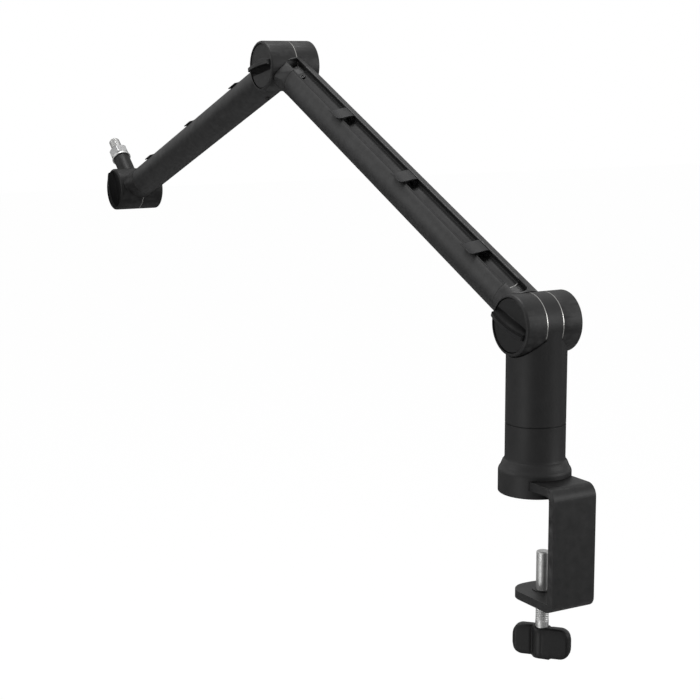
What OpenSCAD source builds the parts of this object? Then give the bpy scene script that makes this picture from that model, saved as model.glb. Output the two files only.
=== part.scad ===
// Desk-clamped microphone boom arm: swivel column, two tube arms and a threaded end.
// Millimetres. +Z is up, +X is the way the arm reaches over the desk, +Y is the knob side.
// The origin is on the column's axis, on the desk surface under the base.

/* [Base] */
// Outer diameter of the base
base_d = 43.5; // [42:0.1:52]
// Height of the base's straight wall
base_wall_h = 13; // [12.5:0.1:18]
// Radius of the round at the top of that wall
base_round = 4; // [1:0.1:6]
// Height of the slope between that round and the neck
base_slope_h = 4.7; // [3:0.1:8]
// Size of the hollow fillet where the slope meets the neck
base_fillet = 1.2; // [0.6:0.1:1.2]
// Bevel at the bottom edge of the base
base_edge = 0.6; // [0.2:0.1:0.8]
// Outer diameter of the neck and of the column
column_d = 35.9; // [31:0.1:36]
// Height of the swivel seam between neck and column
seam_z = 41.6; // [36:0.1:46]
// Thickness of the washer in the swivel seam
swivel_washer_t = 0.6; // [0.4:0.1:1.5]
// How far that washer is set back from the column's surface
swivel_washer_inset = 0.7; // [0.2:0.1:2]
// Diameter of the pad under the base
pad_d = 39.6; // [38:0.1:39.8]
// Thickness of the pad
pad_t = 2; // [1:0.1:3]
// How far the pad stands below the base's edge
pad_proud = 0.2; // [0.2:0.1:1]
// Diameter of the room for the swivel's nut
nut_room_d = 20; // [19:0.1:21]
// Height of the ledge above the nut
nut_ledge_z = 19; // [18:0.1:21]

/* [Swivel post] */
// Diameter of the post
post_d = 12; // [10:0.1:13]
// Outer diameter of the two bushes
bush_d = 16; // [15.4:0.1:17.5]
// Length of each bush
bush_l = 9; // [6:0.1:9.5]
// How far the post is screwed into the column
post_grip = 20; // [12:0.5:28]
// Diameter of the post's collar
post_collar_d = 17; // [15:0.1:19]
// Thickness of that collar
post_collar_t = 2.8; // [2:0.1:5]
// Outer diameter of the slotted nut
post_nut_d = 18.4; // [17.4:0.1:18.6]
// Height of the slotted nut
post_nut_h = 5; // [4:0.1:5.5]
// Thickness of the spring washer above the nut
post_spring_t = 1.6; // [1:0.1:2]
// How far the post's end stands below the nut
post_tail = 0.8; // [0.2:0.1:1]
// Width of the slots in the nut's face
post_nut_slot_w = 3; // [2:0.1:4]
// Depth of those slots
post_nut_slot_h = 1.6; // [1:0.1:2.5]

/* [Clamp] */
// Thickness of the bracket's plate
plate_t = 5; // [4:0.1:6]
// Width of the bracket
plate_w = 30.4; // [28:0.1:34]
// Height of the flange's underside above the desk
flange_z = 5.9; // [4.6:0.1:6]
// Distance from the column's axis to the bracket's outer face
web_x = 39.1; // [33:0.1:44]
// Distance from the column's axis to the flange's inner end
flange_end_x = 14; // [12:0.1:16]
// Corner radius of the flange's inner end
flange_corner_r = 6; // [4:0.1:6.5]
// Clear height under the desk surface, down to the tongue
jaw_h = 58; // [56:0.1:75]
// Distance from the column's axis to the tongue's end
tongue_end_x = 5.9; // [2:0.1:12]
// Corner radius of the tongue's end
tongue_corner_r = 13; // [8:0.1:13.5]
// Outer radius of the upper bend
bend_top_r = 7.5; // [5.5:0.1:9]
// Outer radius of the lower bend
bend_low_r = 6; // [2:0.1:9]
// Smallest inner radius of the bends
bend_inner_r = 0.8; // [0.4:0.1:1.5]
// Distance from the column's axis to the clamp screw's axis
screw_x = 9.7; // [7:0.1:12]
// Diameter of the clamp screw
screw_d = 8; // [6:0.1:9]
// Outer diameter of the threaded bush in the tongue
clamp_bush_d = 12; // [11:0.1:14]
// How far that bush stands above and below the tongue
clamp_bush_proud = 0.4; // [0.2:0.1:1]
// Height of the clamping face below the desk surface
tip_drop = 34.2; // [31:0.1:36]
// Diameter of the pressure tip
tip_d = 8; // [7.8:0.1:14]
// Height of the pressure tip
tip_h = 6; // [5:0.1:7]
// Diameter of the screw's end pin inside the tip
tip_pin_d = 5; // [4:0.1:6]
// Length of that pin
tip_pin_l = 3.6; // [2.5:0.1:4]
// Round at the edge of the pressure tip
tip_edge = 0.8; // [0.3:0.1:1.5]

/* [Wing knob] */
// Distance from the tongue's underside to the top of the wing knob
wing_drop = 17.6; // [16:0.1:22]
// Width across the wings
wing_w = 35.7; // [32:0.1:46]
// Height of the wings
wing_h = 18.8; // [16:0.1:26]
// Thickness of the wings
wing_t = 8; // [6:0.1:9]
// How far each wing lies to one side of the screw's axis
wing_shift = 1.8; // [0:0.1:1.8]
// Corner radius of the wings
wing_r = 6.4; // [4:0.1:7.5]
// Diameter of the knob's middle boss
wing_boss_d = 11.6; // [11:0.1:14]
// How far the boss stands below the wings
wing_boss_proud = 1; // [0:0.1:3]
// Round at the bottom of the boss
wing_boss_round = 1.5; // [0.5:0.1:3]
// How deep the screw sits in the knob
wing_grip = 14; // [8:0.1:16]
// Turn of the wings from the arm's direction
wing_turn = 41; // [0:1:180]

/* [Joint hubs] */
// Height of the shoulder pin above the desk
shoulder_z = 101; // [98:0.5:130]
// Diameter of the three joint hubs
hub_d = 36.4; // [36:0.1:38]
// Length of each hub along its pin
hub_l = 39.8; // [37:0.1:42]
// Edge radius of the hubs
hub_round = 1.5; // [0.5:0.1:1.8]
// Thickness of the column's tongue in the shoulder
tongue_w = 10.9; // [9:0.1:11.5]
// Thickness of the thrust washers in the joints
joint_washer_t = 0.6; // [0.4:0.1:1]
// Place of the washer in the elbow and the wrist, towards the knob from the hub's middle
split_y = -1.2; // [-2:0.1:1]
// Gap between a hub and the parts that curve round it
saddle_gap = 0.6; // [0.4:0.05:1]
// Diameter of the joint bolts
bolt_d = 7.9; // [6:0.1:8.4]
// Width across the flats of the bolt heads
bolt_af = 13; // [12:0.1:14]
// Height of the bolt heads
bolt_head_h = 5.3; // [4:0.1:5.5]
// Gap between a bolt's head and its end cap
bolt_head_free = 0.2; // [0.1:0.05:0.5]
// Diameter of the dimple in a bolt's head
bolt_dimple_d = 3.95; // [2:0.05:6]
// Depth of that dimple
bolt_dimple_h = 2; // [1:0.1:3]
// Depth of the recess for the end caps
cap_recess = 1.9; // [1.6:0.1:2.4]
// Thickness of the end caps
cap_t = 1.4; // [1:0.1:1.6]
// Bevel round the end caps
cap_edge = 0.4; // [0.2:0.1:0.8]

/* [Joint knobs] */
// Wall of the hub round the knob
rim_t = 1.9; // [1.4:0.1:3]
// Gap between the knob and that wall
rim_gap = 0.3; // [0.2:0.05:0.5]
// Depth of the pocket that the knob sits in
pocket_h = 8; // [7.4:0.1:8.6]
// How far the knob's face lies below the hub's end
knob_inset = 0.5; // [0.2:0.1:1]
// Bevel round the knob's face
knob_edge = 0.5; // [0.2:0.1:1]
// Height of the finger ridge at its middle
ridge_h = 5.5; // [3:0.1:8]
// Radius of the ridge's arched top
ridge_arc_r = 50; // [40:1:80]
// Width of the ridge at its top
ridge_top_w = 3; // [2:0.1:4]
// Width of the ridge where it meets the knob
ridge_root_w = 10; // [7:0.1:13]
// Thickness of the thrust washer under the knob
knob_washer_t = 0.5; // [0.3:0.1:1]
// Outer diameter of the knob's threaded insert
insert_d = 12; // [10.5:0.1:14]
// Length of that insert
insert_l = 6; // [4:0.1:6.2]
// How far the bolt's end stays below the insert's end
bolt_end_short = 0.4; // [0.2:0.1:1]
// Diameter of the disc springs under the knob
spring_d = 16; // [14:0.1:18]
// Thickness of one disc spring
spring_t = 0.9; // [0.5:0.1:1]
// Cone height of one disc spring
spring_cone = 0.45; // [0.3:0.05:0.5]
// Turn of the ridge on the shoulder knob
shoulder_ridge = 20; // [-90:1:90]
// Turn of the ridge on the elbow knob
elbow_ridge = -11; // [-90:1:90]
// Turn of the ridge on the wrist knob
wrist_ridge = 67.5; // [-90:0.5:90]

/* [Arms] */
// Length of the lower arm between its pins
lower_l = 346; // [330:1:420]
// Length of the upper arm between its pins
upper_l = 312; // [300:1:400]
// Angle of the lower arm above level
lower_angle = 25.46; // [10:0.01:80]
// Angle of the upper arm below level
upper_angle = 20.15; // [-40:0.01:40]
// Outer diameter of the lower tube
lower_tube_d = 26.6; // [25:0.1:27.4]
// Outer diameter of the upper tube
upper_tube_d = 25.3; // [24:0.1:27.4]
// Wall of both tubes
tube_wall = 1.8; // [1.2:0.1:2.2]
// Distance from a pin to the tube's end
tube_seam = 28; // [26:0.1:32]
// How far the end fittings reach into the tubes
spigot_l = 20; // [14:0.5:30]
// Half width of the flare where a fitting curves round the other arm's hub
flare_w = 17.6; // [15:0.1:18]
// Half height of that flare
flare_h = 10; // [7:0.1:12]
// Underside relief of the lower fitting beside the column
relief_gap = 1.2; // [0.8:0.1:2]
// Half width of that relief
relief_half_w = 11.5; // [9:0.1:12]

/* [Cable channel] */
// Width of the channel's mouth
channel_w = 8.8; // [7:0.1:10]
// Depth of the channel below the tube's surface
channel_h = 5.5; // [4.6:0.1:6.5]
// Round in the channel's bottom corners
channel_round = 1.4; // [0.5:0.1:2]
// Wall of the tube round the channel
channel_wall = 1.6; // [1:0.1:2]
// Turn of the channel from the top towards the knob side
channel_roll = 18; // [0:1:30]
// Distance from the shoulder pin to the channel's blind end
channel_start = 15; // [14.6:0.1:20]
// How much deeper the channel is in the end fittings
channel_step = 0.35; // [0.1:0.05:0.8]

/* [Cable clips] */
// Length of each clip along the arm
clip_l = 12.3; // [8:0.1:16]
// Thickness of the clips
clip_t = 0.8; // [0.8:0.1:1.4]
// How far the clip's plate lies below the tube's surface at its wall
clip_sink = 0.15; // [0.1:0.05:0.5]
// Gap between the clip's plate and the channel's other lip
clip_lip_gap = 0.3; // [0.1:0.05:1]
// How far the plate reaches past that lip
clip_reach = 1.8; // [1:0.1:3]
// Width of the clip's foot on the channel's floor
clip_foot_w = 3; // [2:0.1:4]
// Distance from the shoulder pin to the first clip on the lower arm
lower_clip_first = 67; // [50:1:90]
// Distance from the last clip on the lower arm to the elbow pin
lower_clip_last = 100; // [60:1:120]
// Distance from the elbow pin to the first clip on the upper arm
upper_clip_first = 71; // [50:1:100]
// Distance from the last clip on the upper arm to the wrist pin
upper_clip_last = 61; // [40:1:80]
// Number of clips on each arm
clip_count = 3; // [2:1:3]

/* [Microphone end] */
// Diameter of the stub that carries the threaded stud
stub_d = 14.6; // [13:0.1:16]
// Distance from the wrist pin to the stub's end
stub_end = 38.6; // [32:0.1:48]
// Lean of the stub from upright
stub_tilt = 49; // [0:1:60]
// Sideways place of the stub's axis
stub_y = 0; // [0:0.1:6]
// Diameter of the threaded stud, 3/8 inch
stud_d = 9.525; // [8:0.005:10]
// How deep the stud sits in the stub
stud_grip = 10; // [6:0.1:12]
// Distance from the wrist pin to the stud's tip
stud_end = 62.8; // [54:0.1:70]
// Round at the stud's tip
stud_round = 1.6; // [0.4:0.1:2.4]
// Diameter of the neck between the stud's two threaded lengths
stud_neck_d = 8; // [7:0.1:8.4]
// Width of that neck, which lies just past the lock nut
stud_neck_w = 0.9; // [0.5:0.1:2]
// Outer diameter of the washer under the lock nut
lock_washer_d = 17; // [15:0.1:20]
// Thickness of that washer
lock_washer_t = 1.5; // [1:0.1:2]
// Width across the flats of the lock nut
lock_nut_af = 15.5; // [13:0.1:17]
// Height of the lock nut
lock_nut_h = 9.4; // [6:0.1:10]
// Height of the bevels at the nut's corners
lock_nut_edge = 0.8; // [0.3:0.1:1.5]

/* [Fasteners and fits] */
// Running clearance on the radius of pins, posts and threads
run_gap = 0.05; // [0.02:0.01:0.1]
// Clearance between pieces that are fixed together
seat_gap = 0.1; // [0.05:0.01:0.2]
// Shank diameter of the base screws
base_screw_d = 4; // [3:0.1:5]
// Head diameter of the base screws
base_screw_head_d = 7.4; // [6:0.1:8]
// Distance from the column's axis to the base screws
base_screw_r = 14.9; // [14.6:0.1:15.4]
// How far the base screws stay below the flange's top
base_screw_short = 0.6; // [0.2:0.1:1]
// Shank diameter of the tube screws
tube_screw_d = 3; // [2:0.1:3.5]
// Head diameter of the tube screws
tube_screw_head_d = 4.2; // [3.8:0.1:4.8]
// Head height of the tube screws
tube_screw_head_h = 1.1; // [0.6:0.1:1.6]
// Round at the edge of those heads
tube_screw_round = 0.5; // [0.2:0.1:0.5]
// Length of the tube screws under the head
tube_screw_l = 5; // [4:0.1:6]
// Distance from the tube's end to its screws
tube_screw_in = 6; // [5:0.1:13]
// Sideways place of the screw in the channel
channel_screw_w = 0.8; // [-0.9:0.1:0.9]
// How much deeper the screw holes are than the screws
screw_hole_free = 0.5; // [0.2:0.1:1]

/* [Hidden] */
$fn = 64;
eps = 0.01;
far = 200;

black = [0.12, 0.12, 0.12];
dark_plastic = [0.09, 0.09, 0.09];
rubber = [0.06, 0.06, 0.06];
steel = [0.72, 0.72, 0.72];
brass = [0.78, 0.63, 0.32];
bronze = [0.66, 0.5, 0.3];

// Base and swivel
column_z = seam_z + swivel_washer_t;
nut_top_z = nut_ledge_z - post_spring_t;
post_low_z = nut_top_z - post_nut_h - post_tail;
round_top_z = base_wall_h + base_round * sin(45);
neck_z = round_top_z + base_slope_h;

// Joint hubs: half lengths and radii
hub_r = hub_d / 2;
hub_half = hub_l / 2;
saddle_r = hub_r + saddle_gap;
tongue_half = tongue_w / 2;
ear_in = tongue_half + joint_washer_t;
split_low = split_y - joint_washer_t / 2;
split_high = split_y + joint_washer_t / 2;
pocket_r = hub_r - rim_t;
pocket_y = hub_half - pocket_h;
knob_r = pocket_r - rim_gap;
knob_face_y = hub_half - knob_inset;
knob_back_y = pocket_y + knob_washer_t;
bore_r = bolt_d / 2 + run_gap;
spring_stack = 2 * (spring_t + spring_cone);
spring_seat_y = pocket_y - spring_stack;
cap_floor_y = -(hub_half - cap_recess);
head_y = cap_floor_y + bolt_head_free;
bolt_seat_y = head_y + bolt_head_h;
bolt_end_y = knob_back_y + insert_l - bolt_end_short;

// Joint centres
elbow_x = lower_l * cos(lower_angle);
elbow_z = shoulder_z + lower_l * sin(lower_angle);
wrist_x = elbow_x + upper_l * cos(upper_angle);
wrist_z = elbow_z - upper_l * sin(upper_angle);

// Clamp heights, all below the desk surface
tongue_top_z = -jaw_h;
tongue_low_z = tongue_top_z - plate_t;
wing_top_z = tongue_low_z - wing_drop;

// Microphone end, measured along the stub
lock_nut_start = stub_end + lock_washer_t;
neck_start = lock_nut_start + lock_nut_h;

// Points on an arc, in degrees, for profiles
function arc(cx, cy, r, a0, a1, n) =
    [for (i = [0 : n]) [cx + r * cos(a0 + (a1 - a0) * i / n), cy + r * sin(a0 + (a1 - a0) * i / n)]];

// Frames of the moving parts: X runs along the arm, Y along the pins
module at_lower() { translate([0, 0, shoulder_z]) rotate([0, -lower_angle, 0]) children(); }
module at_upper() { translate([elbow_x, 0, elbow_z]) rotate([0, upper_angle, 0]) children(); }
module at_wrist() { translate([wrist_x, 0, wrist_z]) children(); }
module at_stub() { translate([wrist_x, stub_y, wrist_z]) rotate([0, stub_tilt, 0]) children(); }

// Turns a shape that stands on Z so that it stands on Y
module along_y() { rotate([-90, 0, 0]) children(); }

module y_cyl(r, y0, y1) { translate([0, y0, 0]) along_y() cylinder(r = r, h = y1 - y0); }

module x_cyl(r, x0, x1) { translate([x0, 0, 0]) rotate([0, 90, 0]) cylinder(r = r, h = x1 - x0); }

module tube_ring(r_out, r_in, h) {
    difference() {
        cylinder(r = r_out, h = h);
        translate([0, 0, -1]) cylinder(r = r_in, h = h + 2);
    }
}

// Solid part of a hub from y0 to y1, each end rounded if its flag is 1
module hub_body(y0, y1, round0, round1) {
    k0 = max(round0 * hub_round, eps);
    k1 = max(round1 * hub_round, eps);
    along_y() rotate_extrude() polygon(concat(
        [[0, y0]],
        arc(hub_r - k0, y0 + k0, k0, -90, 0, 5),
        arc(hub_r - k1, y1 - k1, k1, 0, 90, 5),
        [[0, y1]]));
}

// What is cut from the knob half of a hub: pocket, spring seat and bolt hole
module knob_side_cuts() {
    y_cyl(pocket_r, pocket_y, hub_half + 1);
    y_cyl(spring_d / 2 + seat_gap, spring_seat_y, pocket_y + 1);
    y_cyl(bore_r, split_low, pocket_y);
}

// What is cut from the cap half of a hub: cap recess, hexagon for the head and bolt hole
module cap_side_cuts() {
    y_cyl(pocket_r, -hub_half - 1, cap_floor_y);
    translate([0, cap_floor_y - 1, 0]) along_y()
        cylinder(d = (bolt_af + 2 * seat_gap) / cos(30), h = bolt_seat_y - cap_floor_y + 1, $fn = 6);
    y_cyl(bore_r, bolt_seat_y - 1, 0);
}

// Channel outline in the tube's cross-section, x to the knob side and y up
module channel_2d(tube_r, w, depth) {
    floor_y = tube_r - depth;
    r = channel_round;
    translate([-w / 2, floor_y + r]) square([w, depth + 10]);
    translate([-w / 2 + r, floor_y]) square([w - 2 * r, r + 1]);
    for (s = [-1, 1]) translate([s * (w / 2 - r), floor_y + r]) circle(r = r);
}

// Room inside the tube, which the fittings' spigots fill but for a clearance
module inside_2d(tube_r, gap) {
    difference() {
        circle(r = tube_r - tube_wall - gap);
        translate([-channel_w / 2 - channel_wall - gap, tube_r - channel_h - channel_wall - gap])
            square([channel_w + 2 * (channel_wall + gap), tube_r]);
    }
}

// Lays a cross-section along the arm from x0 to x1, turned with the channel
module along_arm(x0, x1) {
    translate([x0, 0, 0]) rotate([-channel_roll, 0, 0]) rotate([90, 0, 90])
        linear_extrude(height = x1 - x0) children();
}

module arm_tube(tube_r, len) {
    difference() {
        along_arm(tube_seam, len - tube_seam) difference() {
            circle(r = tube_r);
            channel_2d(tube_r, channel_w, channel_h);
            inside_2d(tube_r, 0);
        }
        tube_screw_holes(tube_r, len, tube_screw_d / 2 + seat_gap);
    }
}

// Places a child at each tube screw, Z pointing out of the tube, on the surface under the head
module at_tube_screws(tube_r, len) {
    translate([len - tube_seam - tube_screw_in, 0, 0]) rotate([-channel_roll, 0, 0])
        translate([0, channel_screw_w, tube_r - channel_h]) children();
    translate([tube_seam + tube_screw_in, 0, -tube_r]) rotate([180, 0, 0]) children();
}

module tube_screw_holes(tube_r, len, r) {
    at_tube_screws(tube_r, len) translate([0, 0, -tube_screw_l - screw_hole_free])
        cylinder(r = r, h = tube_screw_l + 2);
}

module tube_screw_set(tube_r, len) {
    head_r = tube_screw_head_d / 2;
    round_r = tube_screw_round;
    at_tube_screws(tube_r, len) {
        translate([0, 0, -tube_screw_l]) cylinder(d = tube_screw_d, h = tube_screw_l + eps);
        rotate_extrude() polygon(concat(
            [[0, 0], [head_r, 0]],
            arc(head_r - round_r, tube_screw_head_h - round_r, round_r, 0, 90, 3),
            [[0, tube_screw_head_h]]));
    }
}

// The fitting's spigot inside the tube
module spigot(tube_r, x0, x1) {
    along_arm(x0, x1) inside_2d(tube_r, seat_gap);
}

// The channel cut through a fitting, from x0 to x1, with a rounded blind end at x0 if blind is 1
module channel_cut(tube_r, x0, x1, blind) {
    depth = channel_h + channel_step;
    along_arm(x0 + blind * channel_w / 2, x1) channel_2d(tube_r, channel_w, depth);
    if (blind == 1)
        rotate([-channel_roll, 0, 0]) translate([x0 + channel_w / 2, 0, tube_r - depth])
            cylinder(d = channel_w, h = depth + 10);
}

// Cable clip in the tube's cross-section: foot on the floor, wall, and a flat plate past the other lip
module clip_2d(tube_r) {
    floor_y = tube_r - channel_h;
    side = -channel_w / 2;
    wall_top = sqrt(tube_r * tube_r - side * side) - clip_sink;
    slope = (clip_sink + clip_lip_gap + clip_t) / channel_w;
    tab_top = wall_top + slope * (channel_w + clip_reach);
    polygon([
        [side, floor_y + channel_round], [side + channel_round, floor_y],
        [side + clip_foot_w, floor_y], [side + clip_foot_w, floor_y + clip_t],
        [side + clip_t, floor_y + clip_t], [side + clip_t, wall_top - clip_t],
        [channel_w / 2 + clip_reach, tab_top - clip_t], [channel_w / 2 + clip_reach, tab_top],
        [side, wall_top]]);
}

// Clips spaced evenly between the first and the last on an arm of length len
module clip_row(tube_r, len, first, last) {
    pitch = (len - first - last) / (clip_count - 1);
    for (i = [0 : clip_count - 1])
        along_arm(first + i * pitch - clip_l / 2, first + i * pitch + clip_l / 2) clip_2d(tube_r);
}

// End of a fitting from the pin to the tube, flared on one side where it curves round the other hub
module saddle_flare(tube_r, side) {
    hull() {
        x_cyl(tube_r, tube_seam - eps, tube_seam);
        rotate([90, 0, 90]) linear_extrude(height = saddle_r) {
            circle(r = tube_r);
            intersection() {
                scale([flare_w, flare_h]) circle(r = 1);
                translate([side > 0 ? 0 : -far, -far]) square([far, 2 * far]);
            }
        }
    }
}

// Fitting with two ears, at the shoulder end of the lower arm
module lower_arm_foot() {
    tube_r = lower_tube_d / 2;
    color(black) at_lower() difference() {
        union() {
            difference() {
                x_cyl(tube_r, 0, tube_seam);
                translate([-far, -relief_half_w, -far])
                    cube([far + column_d / 2 + relief_gap, 2 * relief_half_w, far]);
                y_cyl(saddle_r, -ear_in, ear_in);
            }
            hub_body(ear_in, hub_half, 0, 1);
            hub_body(-hub_half, -ear_in, 1, 0);
            spigot(tube_r, tube_seam - eps, tube_seam + spigot_l);
        }
        knob_side_cuts();
        cap_side_cuts();
        channel_cut(tube_r, channel_start, tube_seam + eps, 1);
        tube_screw_holes(tube_r, lower_l, tube_screw_d / 2 + run_gap);
    }
}

// The channel through the fitting at the far end, measured back from that pin
module channel_cut_far(tube_r) {
    along_arm(channel_start, tube_seam + eps) channel_2d(tube_r, channel_w, channel_h + channel_step);
}

// Cap half of a hub with its fitting, for the far end of a tube
module head_fitting(tube_r, len) {
    difference() {
        union() {
            difference() {
                translate([len, 0, 0]) mirror([1, 0, 0]) saddle_flare(tube_r, 1);
                translate([len, 0, 0]) y_cyl(saddle_r, split_low, hub_half);
            }
            translate([len, 0, 0]) hub_body(-hub_half, split_low, 1, 0);
            spigot(tube_r, len - tube_seam - spigot_l, len - tube_seam + eps);
        }
        translate([len, 0, 0]) cap_side_cuts();
        translate([len, 0, 0]) mirror([1, 0, 0]) channel_cut_far(tube_r);
        tube_screw_holes(tube_r, len, tube_screw_d / 2 + run_gap);
    }
}

// Knob half of a hub with its fitting, for the near end of the upper tube
module upper_arm_foot() {
    tube_r = upper_tube_d / 2;
    color(black) at_upper() difference() {
        union() {
            difference() {
                saddle_flare(tube_r, -1);
                y_cyl(saddle_r, -hub_half, split_high);
            }
            hub_body(split_high, hub_half, 0, 1);
            spigot(tube_r, tube_seam - eps, tube_seam + spigot_l);
        }
        knob_side_cuts();
        channel_cut(tube_r, channel_start, tube_seam + eps, 1);
        tube_screw_holes(tube_r, upper_l, tube_screw_d / 2 + run_gap);
    }
}

module lower_arm_head() { color(black) at_lower() head_fitting(lower_tube_d / 2, lower_l); }
module upper_arm_head() { color(black) at_upper() head_fitting(upper_tube_d / 2, upper_l); }

module lower_tube() { color(black) at_lower() arm_tube(lower_tube_d / 2, lower_l); }
module upper_tube() { color(black) at_upper() arm_tube(upper_tube_d / 2, upper_l); }

module lower_tube_screws() { color(black) at_lower() tube_screw_set(lower_tube_d / 2, lower_l); }
module upper_tube_screws() { color(black) at_upper() tube_screw_set(upper_tube_d / 2, upper_l); }

module lower_clips() {
    color(dark_plastic) at_lower()
        clip_row(lower_tube_d / 2, lower_l, lower_clip_first, lower_clip_last);
}

module upper_clips() {
    color(dark_plastic) at_upper()
        clip_row(upper_tube_d / 2, upper_l, upper_clip_first, upper_clip_last);
}

// Hinge bolt, its hexagon head on the cap side
module hinge_bolt() {
    color(steel) {
        difference() {
            translate([0, head_y, 0]) along_y()
                cylinder(d = bolt_af / cos(30), h = bolt_head_h, $fn = 6);
            y_cyl(bolt_dimple_d / 2, head_y - 1, head_y + bolt_dimple_h);
        }
        y_cyl(bolt_d / 2, bolt_seat_y - eps, bolt_end_y);
    }
}

module end_cap() {
    r = pocket_r - seat_gap;
    y = cap_floor_y - cap_t;
    color(black) along_y() rotate_extrude() polygon([
        [0, y], [r - cap_edge, y], [r, y + cap_edge], [r, cap_floor_y], [0, cap_floor_y]]);
}

module joint_washer(y0) {
    color(steel) translate([0, y0, 0]) along_y()
        tube_ring(hub_r - seat_gap, bore_r + seat_gap, joint_washer_t);
}

// Two disc springs set mouth to mouth
module disc_springs() {
    inner = bore_r + seat_gap;
    color(steel) along_y() translate([0, 0, spring_seat_y]) rotate_extrude() {
        polygon([[inner, spring_cone], [spring_d / 2, 0], [spring_d / 2, spring_t],
                 [inner, spring_cone + spring_t]]);
    }
    color(steel) along_y() translate([0, 0, spring_seat_y + spring_stack]) rotate_extrude() {
        polygon([[inner, -spring_cone], [inner, -spring_cone - spring_t],
                 [spring_d / 2, -spring_t], [spring_d / 2, 0]]);
    }
}

module knob_washer() {
    color(steel) translate([0, pocket_y, 0]) along_y()
        tube_ring(knob_r, bore_r + seat_gap, knob_washer_t);
}

// Hub knob: a disc in the pocket with an arched finger ridge across it
module hub_knob(turn) {
    steps = 6;
    axis_y = knob_face_y + ridge_h - ridge_arc_r;
    root_w = (ridge_root_w - ridge_top_w) / 2;
    sink = 1;
    color(dark_plastic) rotate([0, -turn, 0]) difference() {
        union() {
            along_y() rotate_extrude() polygon([
                [0, knob_back_y], [knob_r, knob_back_y], [knob_r, knob_face_y - knob_edge],
                [knob_r - knob_edge, knob_face_y], [0, knob_face_y]]);
            intersection() {
                y_cyl(knob_r - knob_edge, knob_face_y - sink, knob_face_y + ridge_h + 1);
                translate([0, axis_y, 0]) rotate_extrude($fn = 160) polygon(concat(
                    [[ridge_arc_r - ridge_h - 2 * sink, -ridge_root_w / 2]],
                    [for (i = [0 : steps])
                        [ridge_arc_r - ridge_h + ridge_h * i / steps,
                         -ridge_top_w / 2 - root_w * pow(1 - i / steps, 2)]],
                    [for (i = [steps : -1 : 0])
                        [ridge_arc_r - ridge_h + ridge_h * i / steps,
                         ridge_top_w / 2 + root_w * pow(1 - i / steps, 2)]],
                    [[ridge_arc_r - ridge_h - 2 * sink, ridge_root_w / 2]]));
            }
        }
        y_cyl(insert_d / 2 + run_gap, knob_back_y - 1, knob_back_y + insert_l + run_gap);
    }
}

module knob_insert() {
    color(brass) translate([0, knob_back_y, 0]) along_y() tube_ring(insert_d / 2, bore_r, insert_l);
}

module shoulder_bolt() { at_lower() hinge_bolt(); }
module elbow_bolt() { at_lower() translate([lower_l, 0, 0]) hinge_bolt(); }
module wrist_bolt() { at_upper() translate([upper_l, 0, 0]) hinge_bolt(); }

module shoulder_cap() { at_lower() end_cap(); }
module elbow_cap() { at_lower() translate([lower_l, 0, 0]) end_cap(); }
module wrist_cap() { at_upper() translate([upper_l, 0, 0]) end_cap(); }

module shoulder_washers() {
    at_lower() {
        joint_washer(tongue_half);
        joint_washer(-tongue_half - joint_washer_t);
    }
}
module elbow_washer() { at_lower() translate([lower_l, 0, 0]) joint_washer(split_low); }
module wrist_washer() { at_upper() translate([upper_l, 0, 0]) joint_washer(split_low); }

module shoulder_springs() { at_lower() disc_springs(); }
module elbow_springs() { at_upper() disc_springs(); }
module wrist_springs() { at_wrist() disc_springs(); }

module shoulder_knob_washer() { at_lower() knob_washer(); }
module elbow_knob_washer() { at_upper() knob_washer(); }
module wrist_knob_washer() { at_wrist() knob_washer(); }

module shoulder_knob() { translate([0, 0, shoulder_z]) hub_knob(shoulder_ridge); }
module elbow_knob() { translate([elbow_x, 0, elbow_z]) hub_knob(elbow_ridge); }
module wrist_knob() { at_wrist() hub_knob(wrist_ridge); }

module shoulder_insert() { at_lower() knob_insert(); }
module elbow_insert() { at_upper() knob_insert(); }
module wrist_insert() { at_wrist() knob_insert(); }

// Column: round post with a saddle for the ears and a tongue between them
module column() {
    color(black) difference() {
        union() {
            difference() {
                translate([0, 0, column_z]) cylinder(d = column_d, h = shoulder_z - column_z);
                for (s = [-1, 1]) translate([0, 0, shoulder_z])
                    y_cyl(saddle_r, s > 0 ? tongue_half : -hub_half, s > 0 ? hub_half : -tongue_half);
            }
            translate([0, 0, shoulder_z]) y_cyl(hub_r, -tongue_half, tongue_half);
        }
        translate([0, 0, shoulder_z]) y_cyl(bore_r, -tongue_half - 1, tongue_half + 1);
        translate([0, 0, column_z - 1]) cylinder(r = post_collar_d / 2 + seat_gap, h = post_collar_t + 1);
        translate([0, 0, column_z]) cylinder(r = post_d / 2 + run_gap, h = post_grip + 1);
    }
}

module swivel_post() {
    color(steel) {
        translate([0, 0, post_low_z]) cylinder(d = post_d, h = column_z + post_grip - post_low_z);
        translate([0, 0, column_z]) cylinder(d = post_collar_d, h = post_collar_t);
    }
}

module post_spring() {
    color(steel) translate([0, 0, nut_top_z])
        tube_ring(post_nut_d / 2, post_d / 2 + run_gap, post_spring_t);
}

// Round nut with four slots for a pin wrench
module post_nut() {
    color(steel) translate([0, 0, nut_top_z - post_nut_h]) difference() {
        tube_ring(post_nut_d / 2, post_d / 2 + run_gap, post_nut_h);
        for (a = [0, 90]) rotate([0, 0, a]) translate([-post_nut_d, -post_nut_slot_w / 2, -1])
            cube([2 * post_nut_d, post_nut_slot_w, post_nut_slot_h + 1]);
    }
}

module lower_bush() {
    color(bronze) translate([0, 0, nut_ledge_z]) tube_ring(bush_d / 2, post_d / 2 + run_gap, bush_l);
}

module upper_bush() {
    color(bronze) translate([0, 0, seam_z - bush_l])
        tube_ring(bush_d / 2, post_d / 2 + run_gap, bush_l);
}

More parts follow.
